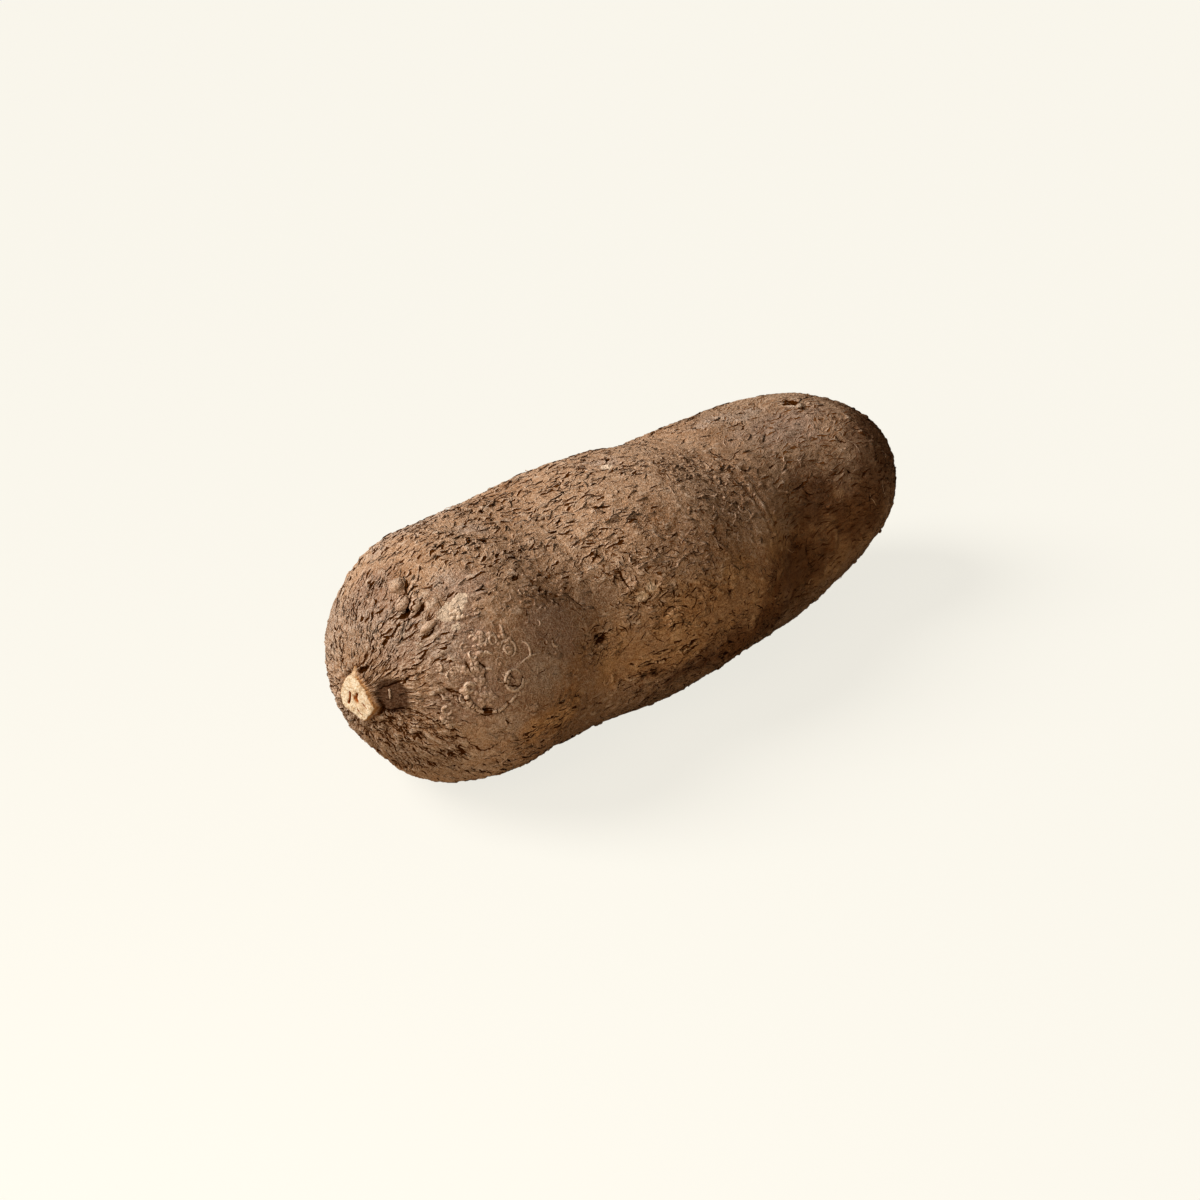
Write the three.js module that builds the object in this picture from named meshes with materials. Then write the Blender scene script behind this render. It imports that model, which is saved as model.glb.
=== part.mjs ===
// A whole yam: one long, blunt tuber with corky skin, lying on its side.
// Millimetres, +Z up. +X runs along the tuber, from the stalk end to the growing end. The origin is under
// the middle of the tuber, on the surface that it lies on.
import * as THREE from "three";

// ---- Driving dimensions -------------------------------------------------------------------------------
const LENGTH = 300; // along the tuber, without the stalk stub
const STALK_CAP = 68; // the length over which the stalk end rounds off
const GROWING_CAP = 81; // the same at the growing end
const FLATTENING = 0.96; // height over width: a heavy root grows a little flat

// The body at even steps along its length, stalk end first.
// half: half the width, before the ends round off. side: how far the middle wanders in Y.
// lift: height of the underside. Below zero the tuber's own weight has pressed the skin flat.
const STATIONS = [
  { half: 56.5, side: -10.0, lift: 2.0 },
  { half: 54.0, side: -6.0, lift: 1.0 },
  { half: 50.0, side: -1.5, lift: 1.5 },
  { half: 49.0, side: 3.0, lift: 0.0 },
  { half: 52.0, side: -1.0, lift: -1.0 },
  { half: 51.0, side: -3.5, lift: -1.0 },
  { half: 48.0, side: -1.0, lift: -1.0 },
  { half: 47.0, side: 3.0, lift: -1.0 },
  { half: 46.5, side: 5.0, lift: -0.5 },
  { half: 48.0, side: 3.0, lift: 0.5 },
  { half: 49.0, side: 2.5, lift: 1.5 },
];

// Swellings and hollows. at: distance from the stalk end. round: angle about the length, 0 at +Y and
// 90 on top. spread: how wide the form is. rise: how far it stands out, or sinks in below zero.
const FORMS = [
  { at: 213, round: 163, spread: 23, rise: -5.0 }, // waist behind the growing end
  { at: 174, round: 158, spread: 15, rise: 1.3 }, // shoulder that the waist folds against
  { at: 250, round: 172, spread: 22, rise: 1.5 }, // lobe past the waist
  { at: 4, round: 190, spread: 10, rise: -1.6 }, // hollow beside the stalk stub
  { at: 19, round: 95, spread: 5, rise: 1.8 }, // warts above the stub
  { at: 20, round: 111, spread: 5, rise: 1.5 },
  { at: 38, round: 172, spread: 19, rise: 1.0 }, // smooth swelling low on the stalk end
  { at: 88, round: 168, spread: 7, rise: -1.5 }, // dent where the skin has split
  { at: 246, round: 95, spread: 7, rise: 1.0 }, // scar of a side root, on top
  { at: 72, round: 18, spread: 9, rise: 1.6 }, // knobs and dents on the far side
  { at: 128, round: 342, spread: 14, rise: -1.6 },
  { at: 158, round: 33, spread: 8, rise: 1.4 },
  { at: 216, round: 12, spread: 18, rise: -2.0 },
  { at: 262, round: 322, spread: 12, rise: 1.6 },
  { at: 296, round: 60, spread: 9, rise: 1.2 },
];

// Slow lumps all over: waves that run through the body in several directions.
const WAVES = [
  { towards: [0.55, 0.7, 0.45], length: 71, phase: 0.4, height: 0.45 },
  { towards: [0.5, -0.62, 0.6], length: 57, phase: 1.9, height: 0.4 },
  { towards: [0.8, 0.15, -0.58], length: 46, phase: 3.1, height: 0.35 },
  { towards: [-0.3, 0.8, -0.52], length: 37, phase: 5.2, height: 0.3 },
  { towards: [0.68, 0.5, -0.54], length: 31, phase: 2.3, height: 0.25 },
  { towards: [0.42, -0.35, 0.84], length: 26, phase: 4.4, height: 0.2 },
];

// The woody stub that the vine leaves when it is snapped off.
const STUB_RADIUS = 7.2; // at its broken face
const STUB_HEIGHT = 3.6;
const STUB_WALL = 1.6; // how far the stub's side runs out to its foot
const STUB_CORNERS = 5; // it breaks into a rough five-sided face
const STUB_CORNER_DEPTH = 0.08; // how much those corners stand out, as a share of the radius
const STUB_TURN = 0.9; // where the first corner points, in radians

// Facets.
const COLUMNS = 64; // around the tuber
const STUB_ROW = 1.2; // from row to row on the stub
const STUB_ROWS = 9;
const BODY_ROW = 4.7; // from row to row on the rest of the tuber
const PROFILE_STEPS = 4000; // samples used to space the rows evenly over the surface

const SKIN = { color: 0x7a5f4b, roughness: 0.92, metalness: 0 };

// ---- The body's surface -------------------------------------------------------------------------------
const stationCurve = new THREE.CatmullRomCurve3(
  STATIONS.map((s) => new THREE.Vector3(s.half, s.side, s.lift)),
  false,
  "catmullrom",
);

// How much of the full width is left at x: a quarter ellipse at each end and 1 between them.
function endRounding(x) {
  const stalk = Math.max(0, 1 - x / STALK_CAP);
  const growing = Math.max(0, 1 - (LENGTH - x) / GROWING_CAP);
  return Math.sqrt(Math.max(0, 1 - stalk ** 2)) * Math.sqrt(Math.max(0, 1 - growing ** 2));
}

// The smooth body at distance x from the stalk end and angle a in radians.
function bodyPoint(x, a) {
  const { x: half, y: side, z: lift } = stationCurve.getPoint(x / LENGTH);
  const width = half * endRounding(x);
  return new THREE.Vector3(
    x - LENGTH / 2,
    side + width * Math.cos(a),
    half * FLATTENING + lift + width * FLATTENING * Math.sin(a),
  );
}

// The way straight out of the smooth body, from two short steps over it.
function bodyNormal(x, a) {
  const step = 0.05;
  const inside = THREE.MathUtils.clamp(x, step, LENGTH - step);
  const along = bodyPoint(inside + step, a).sub(bodyPoint(inside - step, a));
  const around = bodyPoint(inside, a + 1e-3).sub(bodyPoint(inside, a - 1e-3));
  return around.cross(along).normalize();
}

// Waves and forms, made ready once: a wave's direction and rate in one vector, a form's middle as a point.
const waves = WAVES.map((wave) => ({
  ...wave,
  rate: new THREE.Vector3(...wave.towards).setLength((2 * Math.PI) / wave.length),
}));
const forms = FORMS.map((form) => ({
  ...form,
  middle: bodyPoint(form.at, THREE.MathUtils.degToRad(form.round)),
}));

// Height of all waves and forms over the smooth body, at one of its points.
function relief(point) {
  let height = 0;
  for (const { rate, phase, height: crest } of waves) height += crest * Math.sin(point.dot(rate) + phase);
  for (const { middle, spread, rise } of forms) {
    height += rise * Math.exp(-point.distanceToSquared(middle) / spread ** 2);
  }
  return height;
}

// Height of the stub over the skin: level on top, with a sloping side.
function stubHeight(fromTip, a) {
  const radius = STUB_RADIUS * (1 + STUB_CORNER_DEPTH * Math.cos(STUB_CORNERS * (a - STUB_TURN)));
  return STUB_HEIGHT * (1 - THREE.MathUtils.smoothstep(fromTip, radius, radius + STUB_WALL));
}

// A point of the finished skin. Whatever the weight presses below the surface is flattened onto it.
function skinPoint(x, a, fromTip) {
  const point = bodyPoint(x, a);
  point.addScaledVector(bodyNormal(x, a), relief(point) + stubHeight(fromTip, a));
  point.z = Math.max(point.z, 0);
  return point;
}

// ---- The mesh: rows of vertices from tip to tip, closed at both -----------------------------------------
// Rows evenly spaced over the surface, closer together on the stub.
// x: distance from the stalk end. fromTip: distance over the surface from the middle of the stub.
function rowPlaces() {
  const halfWidth = (x) => stationCurve.getPoint(x / LENGTH).x * endRounding(x);
  const x = [0];
  const travelled = [0];
  for (let i = 1; i <= PROFILE_STEPS; i++) {
    x.push((LENGTH * (1 - Math.cos((Math.PI * i) / PROFILE_STEPS))) / 2);
    const step = Math.hypot(x[i] - x[i - 1], halfWidth(x[i]) - halfWidth(x[i - 1]));
    travelled.push(travelled[i - 1] + step);
  }
  const whole = travelled[PROFILE_STEPS];
  const stubReach = STUB_ROW * STUB_ROWS;
  const bodyRows = Math.round((whole - stubReach) / BODY_ROW);
  const distances = [];
  for (let k = 1; k <= STUB_ROWS; k++) distances.push(STUB_ROW * k);
  for (let k = 1; k < bodyRows; k++) distances.push(stubReach + ((whole - stubReach) * k) / bodyRows);
  return distances.map((distance) => {
    const i = travelled.findIndex((t) => t >= distance);
    const share = (distance - travelled[i - 1]) / (travelled[i] - travelled[i - 1]);
    return { x: THREE.MathUtils.lerp(x[i - 1], x[i], share), fromTip: distance };
  });
}

function yamGeometry() {
  const rows = rowPlaces();
  const points = [skinPoint(0, 0, 0)];
  for (const { x, fromTip } of rows) {
    for (let j = 0; j < COLUMNS; j++) points.push(skinPoint(x, (2 * Math.PI * j) / COLUMNS, fromTip));
  }
  points.push(skinPoint(LENGTH, 0, LENGTH));

  const at = (row, column) => 1 + row * COLUMNS + (column % COLUMNS);
  const lastRow = rows.length - 1;
  const lastPoint = points.length - 1;
  const triangles = [];
  for (let j = 0; j < COLUMNS; j++) {
    triangles.push(0, at(0, j + 1), at(0, j));
    triangles.push(lastPoint, at(lastRow, j), at(lastRow, j + 1));
    for (let k = 0; k < lastRow; k++) {
      triangles.push(at(k, j), at(k, j + 1), at(k + 1, j));
      triangles.push(at(k, j + 1), at(k + 1, j + 1), at(k + 1, j));
    }
  }
  const geometry = new THREE.BufferGeometry().setFromPoints(points);
  geometry.setIndex(triangles);

  // The origin goes under the middle of the tuber's box.
  geometry.computeBoundingBox();
  const { min, max } = geometry.boundingBox;
  geometry.translate(-(min.x + max.x) / 2, -(min.y + max.y) / 2, -min.z);
  geometry.computeVertexNormals();
  return geometry;
}

const yam = new THREE.Mesh(yamGeometry(), new THREE.MeshStandardMaterial(SKIN));
yam.name = "yam";

const tuber = new THREE.Group();
tuber.add(yam);
export default tuber;
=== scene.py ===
"""A whole yam, dressed around its CAD solid: corky skin with cracks, scars and a broken stalk stub,
small flakes, lumps, ridges and curls of cork, and a few dry root hairs. It lies on a pale floor."""

from itertools import product
from math import tau

import bpy
import numpy as np
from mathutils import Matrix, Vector


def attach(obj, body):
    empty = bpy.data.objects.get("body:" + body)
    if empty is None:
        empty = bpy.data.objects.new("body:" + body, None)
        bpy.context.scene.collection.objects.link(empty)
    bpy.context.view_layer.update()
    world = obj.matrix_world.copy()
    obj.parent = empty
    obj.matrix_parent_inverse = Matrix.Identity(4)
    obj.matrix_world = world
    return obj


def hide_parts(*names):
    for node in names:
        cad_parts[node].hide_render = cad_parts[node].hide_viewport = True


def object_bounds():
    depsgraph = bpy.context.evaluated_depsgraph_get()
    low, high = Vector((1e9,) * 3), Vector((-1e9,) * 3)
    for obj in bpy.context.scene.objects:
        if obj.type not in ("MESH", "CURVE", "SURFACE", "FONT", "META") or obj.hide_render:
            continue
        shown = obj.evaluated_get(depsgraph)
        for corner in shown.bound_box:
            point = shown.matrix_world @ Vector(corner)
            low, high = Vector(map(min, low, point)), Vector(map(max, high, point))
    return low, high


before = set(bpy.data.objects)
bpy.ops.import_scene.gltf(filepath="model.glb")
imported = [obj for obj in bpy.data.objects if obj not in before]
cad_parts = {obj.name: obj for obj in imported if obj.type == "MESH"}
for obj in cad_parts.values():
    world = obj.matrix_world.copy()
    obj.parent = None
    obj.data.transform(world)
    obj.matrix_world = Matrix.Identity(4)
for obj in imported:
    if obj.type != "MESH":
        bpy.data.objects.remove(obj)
cad_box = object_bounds()

# ==== Skin ===========================================================================================
# The whole outside of the tuber, with the stub of the vine at its stalk end, which is the same tissue.
# It is a thin layer of cork that splits along the tuber as the flesh swells under it. The body is the
# CAD solid's own surface, worked out on a fine grid, with everything smaller raised from or cut into it.

MM = 0.001  # metres in a millimetre: the skin is worked out in millimetres
LENGTH = 300.0
STALK_CAP = 68.0  # the length over which the stalk end rounds off
GROWING_CAP = 81.0
FLATTENING = 0.96  # height over width

# Half the width, sideways place of the middle, and lift of the underside, at even steps from the stalk end.
STATIONS = np.array(
    [
        (56.5, -10.0, 2.0),
        (54.0, -6.0, 1.0),
        (50.0, -1.5, 1.5),
        (49.0, 3.0, 0.0),
        (52.0, -1.0, -1.0),
        (51.0, -3.5, -1.0),
        (48.0, -1.0, -1.0),
        (47.0, 3.0, -1.0),
        (46.5, 5.0, -0.5),
        (48.0, 3.0, 0.5),
        (49.0, 2.5, 1.5),
    ]
)

# Swellings and hollows: distance from the stalk end, degrees round from +Y, spread and rise.
FORMS = [
    (213, 163, 23, -5.0),  # waist behind the growing end
    (174, 158, 15, 1.3),  # shoulder that the waist folds against
    (250, 172, 22, 1.5),  # lobe past the waist
    (4, 190, 10, -1.6),  # hollow beside the stub
    (19, 95, 5, 1.8),  # warts above the stub
    (20, 111, 5, 1.5),
    (38, 172, 19, 1.0),  # smooth swelling low on the stalk end
    (88, 168, 7, -1.5),  # dent where the skin has split
    (246, 95, 7, 1.0),  # scar of a side root
    (72, 18, 9, 1.6),  # knobs and dents on the far side
    (128, 342, 14, -1.6),
    (158, 33, 8, 1.4),
    (216, 12, 18, -2.0),
    (262, 322, 12, 1.6),
    (296, 60, 9, 1.2),
]

# Slow lumps: direction through the body, wavelength, phase and height.
WAVES = [
    ((0.55, 0.70, 0.45), 71, 0.4, 0.45),
    ((0.50, -0.62, 0.60), 57, 1.9, 0.40),
    ((0.80, 0.15, -0.58), 46, 3.1, 0.35),
    ((-0.30, 0.80, -0.52), 37, 5.2, 0.30),
    ((0.68, 0.50, -0.54), 31, 2.3, 0.25),
    ((0.42, -0.35, 0.84), 26, 4.4, 0.20),
]


def along_stations(x):
    """The station values at x, on a Catmull-Rom curve: each cubic passes through two stations with a
    slope of half the difference between the stations on either side of each."""
    first, last = 2 * STATIONS[0] - STATIONS[1], 2 * STATIONS[-1] - STATIONS[-2]
    v = np.vstack([first, STATIONS, last])
    u = np.clip(x / LENGTH, 0, 1) * (len(STATIONS) - 1)
    i = np.minimum(u.astype(int), len(STATIONS) - 2)
    t = (u - i)[..., None]
    a, b, c, d = v[i], v[i + 1], v[i + 2], v[i + 3]
    value = 2 * b + (c - a) * t + (2 * a - 5 * b + 4 * c - d) * t**2 + (3 * b - a - 3 * c + d) * t**3
    half, side, lift = np.moveaxis(value / 2, -1, 0)
    return half, side, lift


def half_width(x):
    """Station half-width times a quarter ellipse over each end cap."""
    stalk = np.clip(1 - x / STALK_CAP, 0, 1)
    growing = np.clip(1 - (LENGTH - x) / GROWING_CAP, 0, 1)
    return along_stations(x)[0] * np.sqrt(1 - stalk**2) * np.sqrt(1 - growing**2)


def body(x, a):
    """The smooth body: an ellipse across the tuber at each x, with a the angle round it."""
    half, side, lift = along_stations(x)
    width = half_width(x)
    return np.stack(
        [
            x - LENGTH / 2 + 0 * a,
            side + width * np.cos(a),
            half * FLATTENING + lift + width * FLATTENING * np.sin(a),
        ],
        -1,
    )


def unit(v):
    """v at length 1."""
    return v / np.maximum(np.linalg.norm(v, axis=-1, keepdims=True), 1e-9)


def outward(x, a):
    """Straight out of the smooth body: the cross product of a step round it and a step along it."""
    step = 0.05
    x = np.clip(x, step, LENGTH - step)
    along = body(x + step, a) - body(x - step, a)
    around = body(x, a + 1e-3) - body(x, a - 1e-3)
    return unit(np.cross(around, along))


def spot(at, round_degrees):
    """The point of the smooth body at a distance from the stalk end and an angle in degrees."""
    return body(np.array(float(at)), np.radians(round_degrees))


def distance(points, middle):
    """How far each point is from the middle."""
    return np.linalg.norm(points - middle, axis=-1)


def step_up(value, low, high):
    """0 below low, 1 above high, and 3t²-2t³ between."""
    t = np.clip((value - low) / (high - low), 0, 1)
    return t * t * (3 - 2 * t)


def bell(value, width):
    """e to the power -(value / width)²: 1 where the value is 0, and nearly 0 past twice the width."""
    return np.exp(-((value / width) ** 2))


def above_floor(points):
    """The points, with what the tuber's weight would press below the floor flattened onto it."""
    points[..., 2] = np.maximum(points[..., 2], 0)
    return points


def scattered(cell, salt):
    """Three even random numbers for each whole-numbered cell: its place is multiplied by large odd
    numbers, and the high bits are folded into the low ones between multiplications."""
    x, y, z = np.moveaxis(cell.astype(np.int64), -1, 0)
    h = (x * 0x8DA6B343 + y * 0xD8163841 + z * 0xCB1AB31F + salt * 0x9E3779B1) & 0xFFFFFFFF
    out = []
    for _ in range(3):
        h = ((h ^ (h >> 15)) * 0x2C1B3C6D) & 0xFFFFFFFF
        h = ((h ^ (h >> 12)) * 0x297A2D39) & 0xFFFFFFFF
        h = h ^ (h >> 15)
        out.append(h / 2**32)
    return np.stack(out, -1)


def noise(points, size, salt):
    """Smooth random heights from -1 to 1: random values at the corners of cubes of that size,
    blended across each cube with 3t²-2t³."""
    p = points / size
    base = np.floor(p)
    t = step_up(p - base, 0, 1)
    total = 0
    for corner in product((0, 1), repeat=3):
        weight = np.prod(np.where(corner, t, 1 - t), axis=-1)
        total = total + weight * scattered(base + corner, salt)[..., 0]
    return 2 * total - 1


def plates(points, salt):
    """A cracked pattern: one random seed in each unit cube, and a plate round each seed.
    Returns the distance to the plate's border and the height on the plate, which tilts at random."""
    base = np.floor(points)
    seeds = []
    for step in product((-1, 0, 1), repeat=3):
        random = scattered(base + step, salt)
        seeds.append((base + step + random - points, random))
    nearest = np.stack([(away**2).sum(-1) for away, _ in seeds]).argmin(0)
    home = np.zeros_like(points)
    lean = np.zeros_like(points)
    for i, (away, random) in enumerate(seeds):
        here = (nearest == i)[..., None]
        home = np.where(here, away, home)
        lean = np.where(here, random - 0.5, lean)
    border = np.full(points.shape[:-1], 9.0)
    for i, (away, _) in enumerate(seeds):
        between = ((home + away) * unit(away - home)).sum(-1) / 2
        border = np.where(nearest == i, border, np.minimum(border, between))
    return border, -(home * lean).sum(-1)


# The grid: rows from the stalk end to the growing end, close together on the stub, and columns round.
COLUMNS = 304
STUB_ROW = 0.45
STUB_ROWS = 28
BODY_ROW = 1.125

profile_x = LENGTH * (1 - np.cos(np.linspace(0, np.pi, 6001))) / 2
profile_step = np.hypot(np.diff(profile_x), np.diff(half_width(profile_x)))
profile_travelled = np.concatenate([[0], np.cumsum(profile_step)])
whole = profile_travelled[-1]
stub_reach = STUB_ROW * STUB_ROWS
body_rows = round((whole - stub_reach) / BODY_ROW)
row_travel = np.concatenate(
    [STUB_ROW * np.arange(1, STUB_ROWS + 1), np.linspace(stub_reach, whole, body_rows + 1)[1:-1]]
)
row_x = np.interp(row_travel, profile_travelled, profile_x)
X, A = np.meshgrid(row_x, tau * np.arange(COLUMNS) / COLUMNS, indexing="ij")
TRAVEL = np.repeat(row_travel[:, None], COLUMNS, axis=1)
smooth_body = body(X, A)
out_of_body = outward(X, A)

# Grain runs along the tuber and fans out from its two ends: distance over the surface, and a circle
# that never shrinks below a core, so that the grooves run into the ends instead of crowding there.
FAN_CORE = 22.0
fan = np.hypot(half_width(X), FAN_CORE)
grain = np.stack([TRAVEL, fan * np.cos(A), fan * np.sin(A)], -1)

# -- The body's own forms, as the solid has them.
form_rise = np.zeros_like(X)
for towards, wavelength, phase, height in WAVES:
    rate = unit(np.array(towards)) * tau / wavelength
    form_rise += height * np.sin(smooth_body @ rate + phase)
for at, round_degrees, spread, rise in FORMS:
    form_rise += rise * bell(distance(smooth_body, spot(at, round_degrees)), spread)

# The solid's box, which puts the skin in its place. The solid's stub counts in it by its height alone, so
# its corners are left out here. The skin's own stub comes further down.
STUB_RADIUS = 7.2
STUB_HEIGHT = 3.6
STUB_WALL = 1.6

solid_stub = STUB_HEIGHT * (1 - step_up(TRAVEL, STUB_RADIUS, STUB_RADIUS + STUB_WALL))
solid = above_floor(smooth_body + out_of_body * (form_rise + solid_stub)[..., None])
solid_low, solid_high = solid.reshape(-1, 3).min(0), solid.reshape(-1, 3).max(0)

# -- Patches where the skin differs, and where light or shade is painted on it: kind, distance from the stalk
# end, degrees round, reach along, reach across. Their borders are made ragged.
PATCHES = {
    "smooth": [
        (30, 163, 17, 13),
        (38, 166, 23, 18),
        (62, 156, 18, 12),
        (86, 150, 12, 8),
        (236, 20, 20, 14),
        (110, 240, 24, 14),
    ],
    "grey": [
        (20, 136, 15, 15),
        (9, 122, 12, 12),
        (32, 118, 12, 9),
        (12, 98, 10, 8),
        (14, 72, 16, 14),
        (20, 168, 22, 14),
        (60, 154, 22, 12),
        (230, 110, 30, 12),
        (30, 350, 30, 20),
    ],
    # rusty skin, partly painted: its orange on the shaded side stands in for warm bounced light
    "rust_and_warm_bounce": [
        (128, 178, 50, 22),
        (165, 184, 40, 20),
        (225, 178, 40, 22),
        (186, 165, 16, 14),
        (95, 186, 16, 10),
        (58, 192, 20, 9),
        (90, 330, 40, 18),
    ],
    "scuffed": [
        (25.0, 125.3, 6.2, 3.9),
        (29.2, 122.8, 3.8, 2.6),
        (22.6, 132.8, 2.4, 2.1),
        (112.0, 155.0, 2.2, 2.0),
        (107.6, 157.5, 3.0, 2.0),
        (131, 93, 3.2, 2.0),
        (140, 82, 2.4, 1.6),
        (247.4, 102.0, 2.4, 1.5),
        (170, 10, 7, 3.5),
        (262, 350, 5, 4),
    ],
    # partly a dusty bloom, partly painted light: the two on the underside by the stalk end stand in for
    # light from below
    "dust_and_painted_light": [
        (30, 110, 8, 7),
        (10, 112, 12, 9),
        (7, 78, 14, 12),
        (14, 135, 14, 9),
        (50, 168, 14, 8),
        (30, 190, 10, 7),
        (22, 226, 20, 20),
        (10, 250, 12, 12),
        (12, 20, 22, 22),
        (8, 330, 18, 18),
        (134, 88, 11, 6),
        (224, 88, 13, 6),
        (205, 82, 12, 6),
        (33, 63, 6, 6),
        (62, 92, 8, 5),
        (60, 60, 26, 12),
    ],
    # painted shade: darker patches on the waist, the far end, the low side and two dents on the far side
    "painted_shade": [
        (224, 154, 19, 15),
        (205, 180, 34, 16),
        (250, 168, 30, 18),
        (282, 140, 30, 36),
        (170, 200, 60, 12),
        (128, 342, 18, 12),
        (216, 12, 20, 14),
    ],
    "dashed": [
        (82, 90, 88, 44),
        (6, 90, 18, 24),
        (110, 300, 70, 45),
        (48, 214, 26, 26),
        (122, 196, 34, 13),
        (215, 330, 50, 34),
        (60, 250, 40, 26),
    ],
    "netted": [
        (105, 150, 58, 28),
        (165, 120, 26, 24),
        (150, 210, 60, 30),
        (180, 30, 60, 40),
    ],
}


def patch(places, salt):
    """1 inside any of the places and 0 outside. The distance from a place's middle, as a share of its
    reach along and across, is roughened by noise and then stepped down from 0.40 to 1.25."""
    cover = np.zeros_like(X)
    ragged = 0.30 * noise(smooth_body, 7, salt) + 0.22 * noise(smooth_body, 2.6, salt + 1)
    for at, round_degrees, along, across in places:
        away = (smooth_body - spot(at, round_degrees)) / (along, across, across)
        cover = np.maximum(cover, 1 - step_up(distance(away, 0) + ragged, 0.40, 1.25))
    return cover


PATCH_SALTS = (11, 85, 13, 15, 17, 19, 73, 75)  # one for each kind, in the order above
covers = {kind: patch(PATCHES[kind], salt) for kind, salt in zip(PATCHES, PATCH_SALTS)}
smooth, scuffed, dashed, netted = (covers[kind] for kind in ("smooth", "scuffed", "dashed", "netted"))
wrinkled = step_up(X + 14 * noise(smooth_body, 20, 77), 165, 215)  # the growing end
crinkled = 1 - step_up(TRAVEL + 9 * noise(smooth_body, 15, 79), 30, 62)  # the stalk end
crinkled = crinkled * (1 - smooth)

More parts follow.
